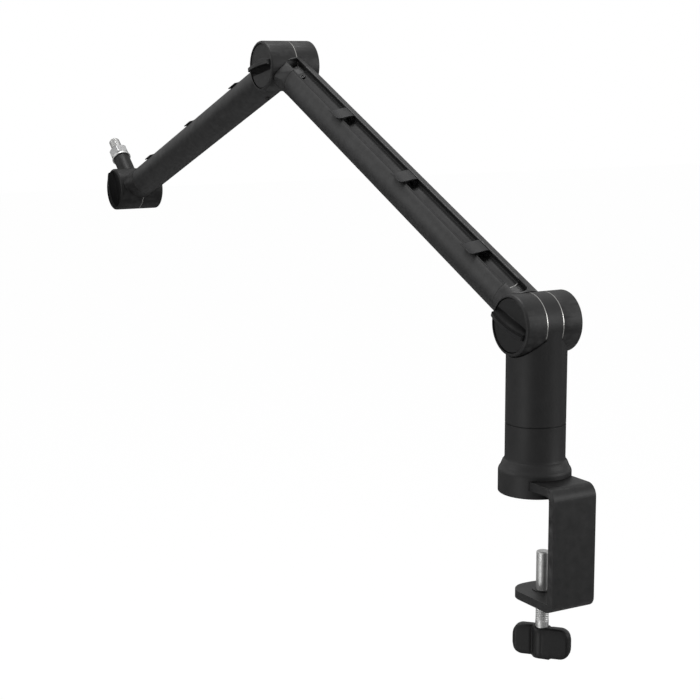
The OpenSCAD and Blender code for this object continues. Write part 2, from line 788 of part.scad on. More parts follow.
module swivel_washer() {
    color(rubber) translate([0, 0, seam_z])
        tube_ring(column_d / 2 - swivel_washer_inset, post_d / 2 + 4 * run_gap, swivel_washer_t);
}

// Flange and tongue outlines seen from above
module plate_end_2d(end_x, corner_r, gap) {
    w = plate_w / 2 + gap;
    x1 = end_x + gap;
    translate([-web_x - gap, -w]) square([web_x + gap + x1 - corner_r, 2 * w]);
    translate([-web_x - gap, -w + corner_r]) square([web_x + gap + x1, 2 * (w - corner_r)]);
    for (s = [-1, 1]) translate([x1 - corner_r, s * (w - corner_r)]) circle(r = corner_r);
}

// Places a child at each of the four base screws
module at_base_screws() {
    for (a = [50, -50, 140, -140]) rotate([0, 0, a]) translate([base_screw_r, 0, 0]) children();
}

// Base casting: wide foot, round shoulder and neck, slotted for the bracket's flange
module base_housing() {
    r0 = base_d / 2;
    r1 = column_d / 2;
    f = base_fillet;
    color(black) difference() {
        rotate_extrude() polygon(concat(
            [[0, pad_proud], [r0 - base_edge, pad_proud], [r0, pad_proud + base_edge]],
            arc(r0 - base_round, base_wall_h, base_round, 0, 45, 5),
            [[r1 + f, neck_z - f], [r1 + f / 4, neck_z - f / 4], [r1, neck_z + f]],
            [[r1, seam_z], [0, seam_z]]));
        translate([0, 0, pad_proud - 1]) cylinder(r = pad_d / 2 + seat_gap, h = pad_t - pad_proud + 1);
        cylinder(d = nut_room_d, h = nut_ledge_z);
        translate([0, 0, nut_ledge_z - 1]) cylinder(r = bush_d / 2 + run_gap, h = seam_z);
        translate([0, 0, flange_z - seat_gap]) linear_extrude(height = plate_t + 2 * seat_gap)
            plate_end_2d(flange_end_x, flange_corner_r, seat_gap);
        at_base_screws() base_screw_room(seat_gap);
    }
}

// Countersunk screw from below; gap widens it to make its hole
module base_screw_room(gap) {
    low_z = pad_t - (gap > 0 ? 1 : 0);
    top_z = flange_z + plate_t - base_screw_short;
    r = base_screw_d / 2 + gap;
    head_h = (base_screw_head_d - base_screw_d) / 2;
    translate([0, 0, low_z]) cylinder(r = r, h = top_z - low_z);
    translate([0, 0, pad_t]) cylinder(r1 = base_screw_head_d / 2 + gap, r2 = r, h = head_h);
}

module base_screws() { color(steel) at_base_screws() base_screw_room(0); }

module base_pad() { color(rubber) cylinder(d = pad_d, h = pad_t); }

// Side view of the bent plate: outer block less the jaw
module bend_2d(x0, z0, z1, r_low, r_top) {
    x1 = web_x + flange_end_x;
    r = max(r_low, r_top);
    translate([x0 + r, z0]) square([x1 - r, z1 - z0]);
    translate([x0, z0 + r_low]) square([x1, z1 - z0 - r_low - r_top]);
    translate([x0 + r_low, z0]) square([x1 - r_low, r]);
    translate([x0 + r_top, z1 - r]) square([x1 - r_top, r]);
    translate([x0 + r_low, z0 + r_low]) circle(r = r_low);
    translate([x0 + r_top, z1 - r_top]) circle(r = r_top);
}

module clamp_bracket() {
    inner_top_r = max(bend_top_r - plate_t, bend_inner_r);
    inner_low_r = max(bend_low_r - plate_t, bend_inner_r);
    color(black) difference() {
        intersection() {
            translate([0, plate_w / 2, 0]) rotate([90, 0, 0]) linear_extrude(height = plate_w)
                difference() {
                    bend_2d(-web_x, tongue_low_z, flange_z + plate_t, bend_low_r, bend_top_r);
                    bend_2d(-web_x + plate_t, tongue_top_z, flange_z, inner_low_r, inner_top_r);
                }
            union() {
                translate([0, 0, -jaw_h / 2]) linear_extrude(height = jaw_h)
                    plate_end_2d(flange_end_x, flange_corner_r, 0);
                translate([0, 0, -jaw_h / 2 - 2 * jaw_h]) linear_extrude(height = 2 * jaw_h)
                    plate_end_2d(tongue_end_x, tongue_corner_r, 0);
            }
        }
        translate([-screw_x, 0, tongue_low_z - 1])
            cylinder(r = clamp_bush_d / 2 + run_gap, h = plate_t + 2);
        at_base_screws() translate([0, 0, flange_z - 1])
            cylinder(r = base_screw_d / 2 + run_gap, h = plate_t + 2);
        cylinder(r = post_d / 2, h = flange_z + plate_t + 1);
    }
}

module clamp_bush() {
    color(black) translate([-screw_x, 0, tongue_low_z - clamp_bush_proud])
        tube_ring(clamp_bush_d / 2, screw_d / 2 + run_gap, plate_t + 2 * clamp_bush_proud);
}

// Pressure tip that turns on the screw's end pin
module clamp_tip() {
    color(steel) translate([-screw_x, 0, -tip_drop - tip_h]) difference() {
        rotate_extrude() polygon(concat(
            [[0, 0], [tip_d / 2, 0]],
            arc(tip_d / 2 - tip_edge, tip_h - tip_edge, tip_edge, 0, 90, 4),
            [[0, tip_h]]));
        translate([0, 0, -1]) cylinder(r = tip_pin_d / 2 + run_gap, h = tip_pin_l + 1 + run_gap);
    }
}

module clamp_screw() {
    low = wing_top_z - wing_grip;
    top = -tip_drop - tip_h;
    color(steel) translate([-screw_x, 0, 0]) {
        translate([0, 0, low]) cylinder(d = screw_d, h = top - low);
        translate([0, 0, top - eps]) cylinder(d = tip_pin_d, h = tip_pin_l + eps);
    }
}

// Outline of the two wings, from the front
module wings_2d() {
    for (s = [-1, 1]) for (z = [wing_r, wing_h - wing_r])
        translate([s * (wing_w / 2 - wing_r), -z]) circle(r = wing_r);
    translate([-wing_w / 2, -wing_h + wing_r]) square([wing_w, wing_h - 2 * wing_r]);
    translate([-wing_w / 2 + wing_r, -wing_h]) square([wing_w - 2 * wing_r, wing_h]);
}

module clamp_wing_knob() {
    boss_h = wing_h + wing_boss_proud;
    boss_r = wing_boss_d / 2;
    k = wing_boss_round;
    color(dark_plastic) translate([-screw_x, 0, wing_top_z]) rotate([0, 0, wing_turn]) difference() {
        union() {
            for (s = [-1, 1]) translate([0, wing_t / 2 - s * wing_shift, 0]) rotate([90, 0, 0])
                linear_extrude(height = wing_t) intersection() {
                    wings_2d();
                    translate([s > 0 ? 0 : -far, -far]) square([far, 2 * far]);
                }
            translate([0, 0, -boss_h]) rotate_extrude() polygon(concat(
                [[0, 0]],
                arc(boss_r - k, k, k, -90, 0, 4),
                [[boss_r, boss_h], [0, boss_h]]));
        }
        translate([0, 0, -wing_grip - run_gap]) cylinder(r = screw_d / 2 + run_gap, h = wing_grip + 1);
    }
}

// Knob half of the wrist hub with the leaning stub
module mic_mount_body() {
    color(black) difference() {
        union() {
            difference() {
                at_stub() cylinder(d = stub_d, h = stub_end);
                at_wrist() y_cyl(saddle_r, -hub_half, split_high);
            }
            at_wrist() hub_body(split_high, hub_half, 0, 1);
        }
        at_wrist() knob_side_cuts();
        at_stub() translate([0, 0, stub_end - stud_grip])
            cylinder(r = stud_d / 2 + run_gap, h = stud_grip + 1);
    }
}

module mic_stud() {
    low = stub_end - stud_grip;
    r = stud_d / 2;
    neck_r = stud_neck_d / 2;
    neck_end = neck_start + stud_neck_w;
    color(steel) at_stub() rotate_extrude() polygon(concat(
        [[0, low], [r, low], [r, neck_start], [neck_r, neck_start], [neck_r, neck_end], [r, neck_end]],
        arc(r - stud_round, stud_end - stud_round, stud_round, 0, 90, 4),
        [[0, stud_end]]));
}

module lock_washer() {
    color(steel) at_stub() translate([0, 0, stub_end])
        tube_ring(lock_washer_d / 2, stud_d / 2 + run_gap, lock_washer_t);
}

// Hexagon nut, chamfered top and bottom
module lock_nut() {
    corner = lock_nut_af / 2 / cos(30);
    flat = lock_nut_af / 2;
    e = lock_nut_edge;
    color(steel) at_stub() translate([0, 0, lock_nut_start]) difference() {
        intersection() {
            cylinder(r = corner, h = lock_nut_h, $fn = 6);
            rotate_extrude() polygon([[0, 0], [flat, 0], [corner, e], [corner, lock_nut_h - e],
                                      [flat, lock_nut_h], [0, lock_nut_h]]);
        }
        translate([0, 0, -1]) cylinder(r = stud_d / 2 + run_gap, h = lock_nut_h + 2);
    }
}

clamp_bracket();
clamp_bush();
base_housing();
base_pad();
base_screws();
lower_bush();
upper_bush();
swivel_washer();
column();
swivel_post();
post_spring();
post_nut();
lower_arm_foot();
lower_tube();
lower_tube_screws();
lower_clips();
lower_arm_head();
shoulder_bolt();
shoulder_cap();
shoulder_washers();
shoulder_springs();
shoulder_knob_washer();
elbow_bolt();
elbow_cap();
elbow_washer();
upper_arm_foot();
upper_tube();
upper_tube_screws();
upper_clips();
upper_arm_head();
elbow_springs();
elbow_knob_washer();
wrist_bolt();
wrist_cap();
wrist_washer();
mic_mount_body();
mic_stud();
wrist_springs();
wrist_knob_washer();
lock_washer();
lock_nut();
shoulder_knob();
shoulder_insert();
elbow_knob();
elbow_insert();
wrist_knob();
wrist_insert();
clamp_tip();
clamp_screw();
clamp_wing_knob();
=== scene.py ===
import math

import bmesh
import bpy
import numpy as np
from mathutils import Euler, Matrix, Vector


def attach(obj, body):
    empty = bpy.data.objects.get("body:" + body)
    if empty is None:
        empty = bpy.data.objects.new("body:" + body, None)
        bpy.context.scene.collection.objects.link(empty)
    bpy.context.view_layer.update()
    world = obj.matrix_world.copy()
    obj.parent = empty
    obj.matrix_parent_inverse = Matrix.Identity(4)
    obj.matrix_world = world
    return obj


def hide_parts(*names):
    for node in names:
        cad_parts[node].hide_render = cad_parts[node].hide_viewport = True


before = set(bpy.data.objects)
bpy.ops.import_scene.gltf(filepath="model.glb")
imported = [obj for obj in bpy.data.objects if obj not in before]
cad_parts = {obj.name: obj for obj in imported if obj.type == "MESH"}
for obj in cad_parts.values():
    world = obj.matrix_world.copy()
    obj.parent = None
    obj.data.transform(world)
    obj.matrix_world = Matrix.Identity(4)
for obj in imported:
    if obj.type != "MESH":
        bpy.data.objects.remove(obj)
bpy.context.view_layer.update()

print("frame loaded:", len(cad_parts), "nodes")

mm = 0.001


# Every place is an origin in millimetres and a matrix whose columns are the piece's own X, Y and Z
armLayout = {
    "shoulderHeight": 101.0,
    "lowerLength": 346.0,
    "upperLength": 312.0,
    "lowerAngle": 25.46,
    "upperAngle": 20.15,
    "channelRoll": 18.0,
    "stubTilt": 49.0,
    "screwX": -9.7,
    "wingTurn": 41.0,
}


def turnY(degrees):
    a = math.radians(degrees)
    return np.array([[math.cos(a), 0, math.sin(a)], [0, 1, 0], [-math.sin(a), 0, math.cos(a)]])


def turnX(degrees):
    a = math.radians(degrees)
    return np.array([[1, 0, 0], [0, math.cos(a), -math.sin(a)], [0, math.sin(a), math.cos(a)]])


def turnZ(degrees):
    a = math.radians(degrees)
    return np.array([[math.cos(a), -math.sin(a), 0], [math.sin(a), math.cos(a), 0], [0, 0, 1]])


shoulder = np.array([0, 0, armLayout["shoulderHeight"]])
lowerTurn = turnY(-armLayout["lowerAngle"])
upperTurn = turnY(armLayout["upperAngle"])
elbow = shoulder + lowerTurn @ [armLayout["lowerLength"], 0, 0]
wrist = elbow + upperTurn @ [armLayout["upperLength"], 0, 0]
stubPlace = (wrist, turnY(armLayout["stubTilt"]))
lowerPlace = (shoulder, lowerTurn @ turnX(-armLayout["channelRoll"]))
upperPlace = (elbow, upperTurn @ turnX(-armLayout["channelRoll"]))


def placed(points, place):
    origin, turn = place
    return (np.asarray(points, float) @ np.asarray(turn).T + origin) * mm


# Quads between neighbouring points of a rows x columns grid, closed round where wrapped
def gridQuads(rows, columns, wrapRows=False, wrapColumns=True):
    i, j = np.meshgrid(np.arange(rows if wrapRows else rows - 1),
                       np.arange(columns if wrapColumns else columns - 1), indexing="ij")
    iNext, jNext = (i + 1) % rows, (j + 1) % columns
    corners = [i * columns + j, i * columns + jNext, iNext * columns + jNext, iNext * columns + j]
    return np.stack(corners, -1).reshape(-1, 4)


# Equal loops joined each to the next. A ring joins the last to the first, else each end gets one face
def loft(loops, ring=False):
    loops = np.asarray(loops, float)
    rows, columns = loops.shape[:2]
    quads = gridQuads(rows, columns, wrapRows=ring)
    last = np.arange((rows - 1) * columns, rows * columns)
    caps = [] if ring else [list(range(columns))[::-1], last.tolist()]
    return loops.reshape(-1, 3), quads, caps


# Equal steps once round, in radians
def roundAngles(segments):
    return np.linspace(0, 2 * np.pi, segments, endpoint=False)


# Profile of (radius, height) pairs turned about Z: x = r cos a, y = r sin a, z = h
def turned(profile, segments):
    r, h = np.asarray(profile, float).T
    a = roundAngles(segments)
    x, y, z = np.outer(r, np.cos(a)), np.outer(r, np.sin(a)), np.outer(h, np.ones(segments))
    return np.stack([x, y, z], -1)


# Radius of a hexagon at each angle: r = flat / cos(angle from the middle of the nearest flat)
def hexagonRadius(flat, a):
    return flat / np.cos((a + np.pi / 6) % (np.pi / 3) - np.pi / 6)


# Closed outline of (x, y) pairs moved outwards by a distance along the mean normal of its two edges
def grownOutline(outline, distance):
    after = np.roll(outline, -1, 0) - outline
    before = outline - np.roll(outline, 1, 0)
    tangent = (after / np.linalg.norm(after, axis=1, keepdims=True)
               + before / np.linalg.norm(before, axis=1, keepdims=True))
    tangent /= np.linalg.norm(tangent, axis=1, keepdims=True)
    normal = np.stack([tangent[:, 1], -tangent[:, 0]], -1)
    x, y = outline.T
    area = (x * np.roll(y, -1) - np.roll(x, -1) * y).sum()
    return outline + normal * distance * (1 if area > 0 else -1)


# Points on an arc between two angles in degrees
def arcPoints(centre, radius, start, end, count):
    a = np.radians(np.linspace(start, end, count))
    return np.stack([centre[0] + radius * np.cos(a), centre[1] + radius * np.sin(a)], -1)


# One mesh from several parts; the faces turn over if a fan of them encloses a negative volume
def joined(parts):
    verts, quads, caps, start = [], [], [], 0
    for v, q, c in parts:
        tri = [q[:, [0, 1, 2]], q[:, [0, 2, 3]]]
        tri += [np.array([[f[0], f[k], f[k + 1]] for k in range(1, len(f) - 1)]) for f in c]
        t = v[np.concatenate(tri)]
        volume = np.einsum("ij,ij->", t[:, 0], np.cross(t[:, 1], t[:, 2]))
        if volume < 0:
            q, c = q[:, ::-1], [f[::-1] for f in c]
        verts.append(v)
        quads.append(q + start)
        caps += [[k + start for k in f] for f in c]
        start += len(v)
    return np.concatenate(verts), np.concatenate(quads), caps


# Puts the parts into an object that rides on a body and stands for CAD nodes
def addPiece(name, parts, body, nodes, materials, faceMaterial=None, sharpAngle=32):
    verts, quads, caps = joined(parts)
    mesh = bpy.data.meshes.new(name)
    mesh.from_pydata(verts.tolist(), [], quads.tolist() + caps)
    mesh.update()
    for material in materials:
        mesh.materials.append(material)
    if faceMaterial is not None:
        index = np.zeros(len(mesh.polygons), np.int32)
        index[:len(faceMaterial)] = faceMaterial
        mesh.polygons.foreach_set("material_index", index)
    mesh.shade_smooth()
    mesh.set_sharp_from_angle(angle=math.radians(sharpAngle))
    piece = bpy.data.objects.new(name, mesh)
    bpy.context.scene.collection.objects.link(piece)
    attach(piece, body)
    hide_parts(*nodes)
    return piece


def addBevel(piece, width, angle):
    bevel = piece.modifiers.new("edgeRound", "BEVEL")
    bevel.width = width * mm
    bevel.segments = 2
    bevel.limit_method = "ANGLE"
    bevel.angle_limit = math.radians(angle)
    bevel.harden_normals = True


def newGroup(name, inputs, outputs):
    group = bpy.data.node_groups.new(name, "ShaderNodeTree")
    for label, value in inputs.items():
        socket = group.interface.new_socket(name=label, in_out="INPUT", socket_type="NodeSocketFloat")
        socket.default_value = value
    for label in outputs:
        group.interface.new_socket(name=label, in_out="OUTPUT", socket_type="NodeSocketFloat")
    return group, group.nodes.new("NodeGroupInput"), group.nodes.new("NodeGroupOutput")


def addNode(tree, kind, inputs=None, **settings):
    node = tree.nodes.new(kind)
    for label, value in settings.items():
        setattr(node, label, value)
    for label, value in (inputs or {}).items():
        if isinstance(value, bpy.types.NodeSocket):
            tree.links.new(value, node.inputs[label])
        else:
            node.inputs[label].default_value = value
    return node


def mathNode(tree, operation, a, b, clamp=False):
    return addNode(tree, "ShaderNodeMath", {0: a, 1: b}, operation=operation, use_clamp=clamp).outputs[0]


# How far a value is above a start, times a gain, held between 0 and 1
def aboveNode(tree, value, start, gain):
    return mathNode(tree, "MULTIPLY", mathNode(tree, "SUBTRACT", value, start), gain, clamp=True)


# Starts and gains of the masks, and how much each layer adds to a skin's height
maskValues = {
    "pimpleHeight": 0.7,
    "speckHeight": 0.5,
    "waveHeight": 0.4,
    "wearPatchStart": 0.35,
    "wearPatchGain": 2.6,
    "dustSlopeStart": 0.25,
    "dustSlopeGain": 1.4,
    "dustSpeckStart": 0.52,
    "dustSpeckGain": 6.0,
}


# Fine pimples of sprayed or moulded skin, with slow waves under them
def makeGrainGroup():
    m = maskValues
    group, given, result = newGroup("skinGrain", {"Grain Size": 0.0004, "Wave Size": 0.006},
                                    ["Height", "Mottle"])
    place = addNode(group, "ShaderNodeTexCoord").outputs["Object"]
    fine = mathNode(group, "DIVIDE", 1.0, given.outputs["Grain Size"])
    slow = mathNode(group, "DIVIDE", 1.0, given.outputs["Wave Size"])
    pimples = addNode(group, "ShaderNodeTexVoronoi", {"Vector": place, "Scale": fine},
                      feature="SMOOTH_F1")
    specks = addNode(group, "ShaderNodeTexNoise", {"Vector": place, "Scale": fine, "Detail": 2.0})
    waves = addNode(group, "ShaderNodeTexNoise", {"Vector": place, "Scale": slow, "Detail": 3.0})
    height = mathNode(group, "MULTIPLY", pimples.outputs["Distance"], m["pimpleHeight"])
    for layer, share in ((specks, m["speckHeight"]), (waves, m["waveHeight"])):
        height = mathNode(group, "ADD", height, mathNode(group, "MULTIPLY", layer.outputs["Fac"], share))
    group.links.new(height, result.inputs["Height"])
    group.links.new(waves.outputs["Fac"], result.inputs["Mottle"])
    return group


# Mask of the thin bright wear on outer edges, broken up by noise
def makeWearGroup():
    m = maskValues
    group, given, result = newGroup("edgeWear", {"Start": 0.53, "Width": 0.06, "Patch Size": 0.005},
                                    ["Mask"])
    place = addNode(group, "ShaderNodeTexCoord").outputs["Object"]
    edge = addNode(group, "ShaderNodeNewGeometry").outputs["Pointiness"]
    edge = mathNode(group, "SUBTRACT", edge, given.outputs["Start"])
    edge = mathNode(group, "DIVIDE", edge, given.outputs["Width"], clamp=True)
    scale = mathNode(group, "DIVIDE", 1.0, given.outputs["Patch Size"])
    patches = addNode(group, "ShaderNodeTexNoise", {"Vector": place, "Scale": scale, "Detail": 4.0})
    patches = aboveNode(group, patches.outputs["Fac"], m["wearPatchStart"], m["wearPatchGain"])
    group.links.new(mathNode(group, "MULTIPLY", edge, patches), result.inputs["Mask"])
    return group


# Mask of dust on faces that look up, thicker in slow patches and made of small specks
def makeDustGroup():
    m = maskValues
    group, given, result = newGroup("settledDust", {"Speck Size": 0.0006, "Patch Size": 0.02}, ["Mask"])
    coords = addNode(group, "ShaderNodeTexCoord")
    up = addNode(group, "ShaderNodeSeparateXYZ", {"Vector": coords.outputs["Normal"]}).outputs["Z"]
    up = aboveNode(group, up, m["dustSlopeStart"], m["dustSlopeGain"])
    speckScale = mathNode(group, "DIVIDE", 1.0, given.outputs["Speck Size"])
    patchScale = mathNode(group, "DIVIDE", 1.0, given.outputs["Patch Size"])
    place = coords.outputs["Object"]
    specks = addNode(group, "ShaderNodeTexNoise", {"Vector": place, "Scale": speckScale})
    specks = aboveNode(group, specks.outputs["Fac"], m["dustSpeckStart"], m["dustSpeckGain"])
    patches = addNode(group, "ShaderNodeTexNoise", {"Vector": place, "Scale": patchScale})
    mask = mathNode(group, "MULTIPLY", mathNode(group, "MULTIPLY", specks, up), patches.outputs["Fac"])
    group.links.new(mask, result.inputs["Mask"])
    return group


# Fine lines left by a lathe or a brush across the Z axis: noise stretched along X and Y
def makeToolGroup():
    group, given, result = newGroup("toolLines", {"Line Size": 0.0002, "Stretch": 0.02},
                                    ["Height", "Streak"])
    place = addNode(group, "ShaderNodeTexCoord").outputs["Object"]
    scale = mathNode(group, "DIVIDE", 1.0, given.outputs["Line Size"])
    parts = addNode(group, "ShaderNodeSeparateXYZ", {"Vector": place})
    stretched = addNode(group, "ShaderNodeCombineXYZ", {
        "X": mathNode(group, "MULTIPLY", parts.outputs["X"], given.outputs["Stretch"]),
        "Y": mathNode(group, "MULTIPLY", parts.outputs["Y"], given.outputs["Stretch"]),
        "Z": parts.outputs["Z"]})
    lines = addNode(group, "ShaderNodeTexNoise",
                    {"Vector": stretched.outputs["Vector"], "Scale": scale, "Detail": 3.0})
    group.links.new(lines.outputs["Fac"], result.inputs["Height"])
    group.links.new(lines.outputs["Fac"], result.inputs["Streak"])
    return group


skinGrain = makeGrainGroup()
edgeWear = makeWearGroup()
settledDust = makeDustGroup()
toolLines = makeToolGroup()

# A painted, moulded or rubber skin: base and worn colour, roughness range, grain and wave size in
# metres, bump depth in metres, share of worn edge and of dust, and the shine that faces the eye
skinFinishes = {
    "blackCoat": {"colour": (0.012, 0.012, 0.0122), "worn": (0.07, 0.07, 0.07),
                  "roughness": (0.47, 0.53), "grain": 0.00035, "wave": 0.007, "depth": 0.00003,
                  "wear": 0.35, "dust": 0.05, "specular": 0.25},
    "blackSteel": {"colour": (0.012, 0.012, 0.0122), "worn": (0.09, 0.09, 0.09),
                   "roughness": (0.44, 0.5), "grain": 0.0005, "wave": 0.01, "depth": 0.00003,
                   "wear": 0.5, "dust": 0.04, "specular": 0.25},
    # The coat made darker and less shiny for the channel's floor, one wall and its lip: painted shade
    "channelPaintedShadeCoat": {"colour": (0.0095, 0.0095, 0.0097), "worn": (0.05, 0.05, 0.05),
                    "roughness": (0.5, 0.58), "grain": 0.00035, "wave": 0.012, "depth": 0.00002,
                    "wear": 0.0, "dust": 0.02, "specular": 0.13},
    # The black coat with more shine, for the lower tube only: painted sheen
    "lowerTubePaintedSheenCoat": {"colour": (0.012, 0.012, 0.0122), "worn": (0.07, 0.07, 0.07),
                 "roughness": (0.47, 0.53), "grain": 0.00035, "wave": 0.007, "depth": 0.00003,
                 "wear": 0.3, "dust": 0.04, "specular": 0.31},
    "blackPlastic": {"colour": (0.010, 0.010, 0.0102), "worn": (0.04, 0.04, 0.04),
                     "roughness": (0.42, 0.5), "grain": 0.00025, "wave": 0.005, "depth": 0.00002,
                     "wear": 0.3, "dust": 0.05, "specular": 0.22},
    "wingPlastic": {"colour": (0.009, 0.009, 0.0091), "worn": (0.04, 0.04, 0.04),
                    "roughness": (0.4, 0.5), "grain": 0.0003, "wave": 0.006, "depth": 0.00002,
                    "wear": 0.25, "dust": 0.03, "specular": 0.19},
    # The black coat made darker and less shiny for the wrist's castings: painted shade
    "wristPaintedShadeCoat": {"colour": (0.009, 0.009, 0.0091), "worn": (0.06, 0.06, 0.06),
                  "roughness": (0.47, 0.53), "grain": 0.00035, "wave": 0.007, "depth": 0.00003,
                  "wear": 0.3, "dust": 0.03, "specular": 0.15},
    # The knob plastic made darker and less shiny for the wrist knob: painted shade
    "wristPaintedShadePlastic": {"colour": (0.005, 0.005, 0.0051), "worn": (0.03, 0.03, 0.03),
                     "roughness": (0.42, 0.5), "grain": 0.00025, "wave": 0.005, "depth": 0.00002,
                     "wear": 0.25, "dust": 0.02, "specular": 0.07},
    "clipPlastic": {"colour": (0.012, 0.012, 0.0125), "worn": (0.06, 0.06, 0.06),
                    "roughness": (0.46, 0.56), "grain": 0.0003, "wave": 0.004, "depth": 0.00001,
                    "wear": 0.2, "dust": 0.02, "specular": 0.18},
    # Near-black, dull plastic on one flank of each knob's ridge: painted shade
    "ridgePaintedShade": {"colour": (0.004, 0.004, 0.0041), "worn": (0.02, 0.02, 0.02),
                     "roughness": (0.46, 0.54), "grain": 0.00025, "wave": 0.005, "depth": 0.00002,
                     "wear": 0.2, "dust": 0.02, "specular": 0.04},
    "rubber": {"colour": (0.012, 0.012, 0.012), "worn": (0.03, 0.03, 0.03),
               "roughness": (0.72, 0.86), "grain": 0.0006, "wave": 0.006, "depth": 0.00004,
               "wear": 0.2, "dust": 0.1, "specular": 0.3},
    "washerPlastic": {"colour": (0.016, 0.016, 0.016), "worn": (0.04, 0.04, 0.04),
                      "roughness": (0.4, 0.5), "grain": 0.0004, "wave": 0.005, "depth": 0.00001,
                      "wear": 0.2, "dust": 0.03, "specular": 0.22},
}

# Shared by all finishes. A skin's shine falls by the outline shade times the square of how far it turns
# away from the eye, which paints shade on the outlines, where a coat reflects the most. Noise between its
# low and its high fills a range from end to end
finishLook = {
    "paintedOutlineShade": 1.15,
    "mottleDark": 0.93,
    "mottleLight": 1.07,
    "dustColour": (0.45, 0.44, 0.42),
    "noiseLow": 0.3,
    "noiseHigh": 0.7,
    "metalWave": 0.003,
}

# A bare metal: colour, streak colour, roughness range, line size and stretch, bump depth in metres
metalFinishes = {
    "brightSteel": {"colour": (0.42, 0.42, 0.415), "streak": (0.33, 0.33, 0.325),
                    "roughness": (0.42, 0.52), "line": 0.00025, "stretch": 0.05, "depth": 0.000004},
    "greySteel": {"colour": (0.25, 0.25, 0.25), "streak": (0.19, 0.19, 0.19),
                  "roughness": (0.34, 0.46), "line": 0.00025, "stretch": 0.1, "depth": 0.000004},
    "washerSteel": {"colour": (0.36, 0.355, 0.345), "streak": (0.27, 0.265, 0.255),
                    "roughness": (0.30, 0.42), "line": 0.0002, "stretch": 0.2, "depth": 0.000005},
    "bareEdge": {"colour": (0.62, 0.62, 0.60), "streak": (0.40, 0.40, 0.39),
                 "roughness": (0.28, 0.42), "line": 0.0003, "stretch": 0.3, "depth": 0.000006},
    "bronze": {"colour": (0.46, 0.30, 0.14), "streak": (0.34, 0.21, 0.09),
               "roughness": (0.35, 0.5), "line": 0.0003, "stretch": 0.1, "depth": 0.000006},
    "brass": {"colour": (0.58, 0.43, 0.17), "streak": (0.46, 0.33, 0.12),
              "roughness": (0.28, 0.4), "line": 0.0003, "stretch": 0.1, "depth": 0.000006},
}


def mixColours(tree, share, first, second):
    mix = addNode(tree, "ShaderNodeMix", data_type="RGBA")
    tree.links.new(share, mix.inputs[0])
    for index, value in ((6, first), (7, second)):
        if isinstance(value, bpy.types.NodeSocket):
            tree.links.new(value, mix.inputs[index])
        else:
            mix.inputs[index].default_value = (*value, 1.0)
    return mix.outputs[2]


def rangeOf(tree, noise, low, high):
    sockets = {0: noise, 1: finishLook["noiseLow"], 2: finishLook["noiseHigh"], 3: low, 4: high}
    return addNode(tree, "ShaderNodeMapRange", sockets).outputs[0]


def newMaterial(name):
    material = bpy.data.materials.new(name)
    material.use_nodes = True
    tree = material.node_tree
    return material, tree, tree.nodes["Principled BSDF"]


def addBump(tree, shader, source, depth):
    bump = addNode(tree, "ShaderNodeBump", {"Height": source.outputs["Height"], "Strength": 1.0,
                                            "Distance": depth})
    tree.links.new(bump.outputs["Normal"], shader.inputs["Normal"])


def makeSkin(name, f):
    material, tree, shader = newMaterial(name)
    grain = addNode(tree, "ShaderNodeGroup", node_tree=skinGrain)
    grain.inputs["Grain Size"].default_value = f["grain"]
    grain.inputs["Wave Size"].default_value = f["wave"]
    wear = addNode(tree, "ShaderNodeGroup", node_tree=edgeWear)
    dust = addNode(tree, "ShaderNodeGroup", node_tree=settledDust)
    darker = tuple(c * finishLook["mottleDark"] for c in f["colour"])
    lighter = tuple(c * finishLook["mottleLight"] for c in f["colour"])
    mottle = rangeOf(tree, grain.outputs["Mottle"], 0.0, 1.0)
    colour = mixColours(tree, mottle, darker, lighter)
    worn = mathNode(tree, "MULTIPLY", wear.outputs["Mask"], f["wear"])
    colour = mixColours(tree, worn, colour, f["worn"])
    dusty = mathNode(tree, "MULTIPLY", dust.outputs["Mask"], f["dust"])
    colour = mixColours(tree, dusty, colour, finishLook["dustColour"])
    tree.links.new(colour, shader.inputs["Base Color"])
    tree.links.new(rangeOf(tree, grain.outputs["Mottle"], *f["roughness"]), shader.inputs["Roughness"])
    # The shine lost towards the outline, by how far a face turns from the eye, is painted shade
    facing = addNode(tree, "ShaderNodeLayerWeight", {"Blend": 0.5}).outputs["Facing"]
    squared = mathNode(tree, "MULTIPLY", facing, facing)
    loss = mathNode(tree, "MULTIPLY", squared, finishLook["paintedOutlineShade"])
    shine = mathNode(tree, "MULTIPLY", mathNode(tree, "SUBTRACT", 1.0, loss, clamp=True), f["specular"])
    tree.links.new(shine, shader.inputs["Specular IOR Level"])
    addBump(tree, shader, grain, f["depth"])
    return material


def makeMetal(name, f):
    material, tree, shader = newMaterial(name)
    lines = addNode(tree, "ShaderNodeGroup", node_tree=toolLines)
    lines.inputs["Line Size"].default_value = f["line"]
    lines.inputs["Stretch"].default_value = f["stretch"]
    grain = addNode(tree, "ShaderNodeGroup", node_tree=skinGrain)
    grain.inputs["Wave Size"].default_value = finishLook["metalWave"]
    colour = mixColours(tree, rangeOf(tree, lines.outputs["Streak"], 0.0, 1.0), f["colour"], f["streak"])
    tree.links.new(colour, shader.inputs["Base Color"])
    shader.inputs["Metallic"].default_value = 1.0
    tree.links.new(rangeOf(tree, grain.outputs["Mottle"], *f["roughness"]), shader.inputs["Roughness"])
    addBump(tree, shader, lines, f["depth"])
    return material


finishes = {name: makeSkin(name, f) for name, f in skinFinishes.items()}
finishes.update({name: makeMetal(name, f) for name, f in metalFinishes.items()})
print("finishes made:", len(finishes))


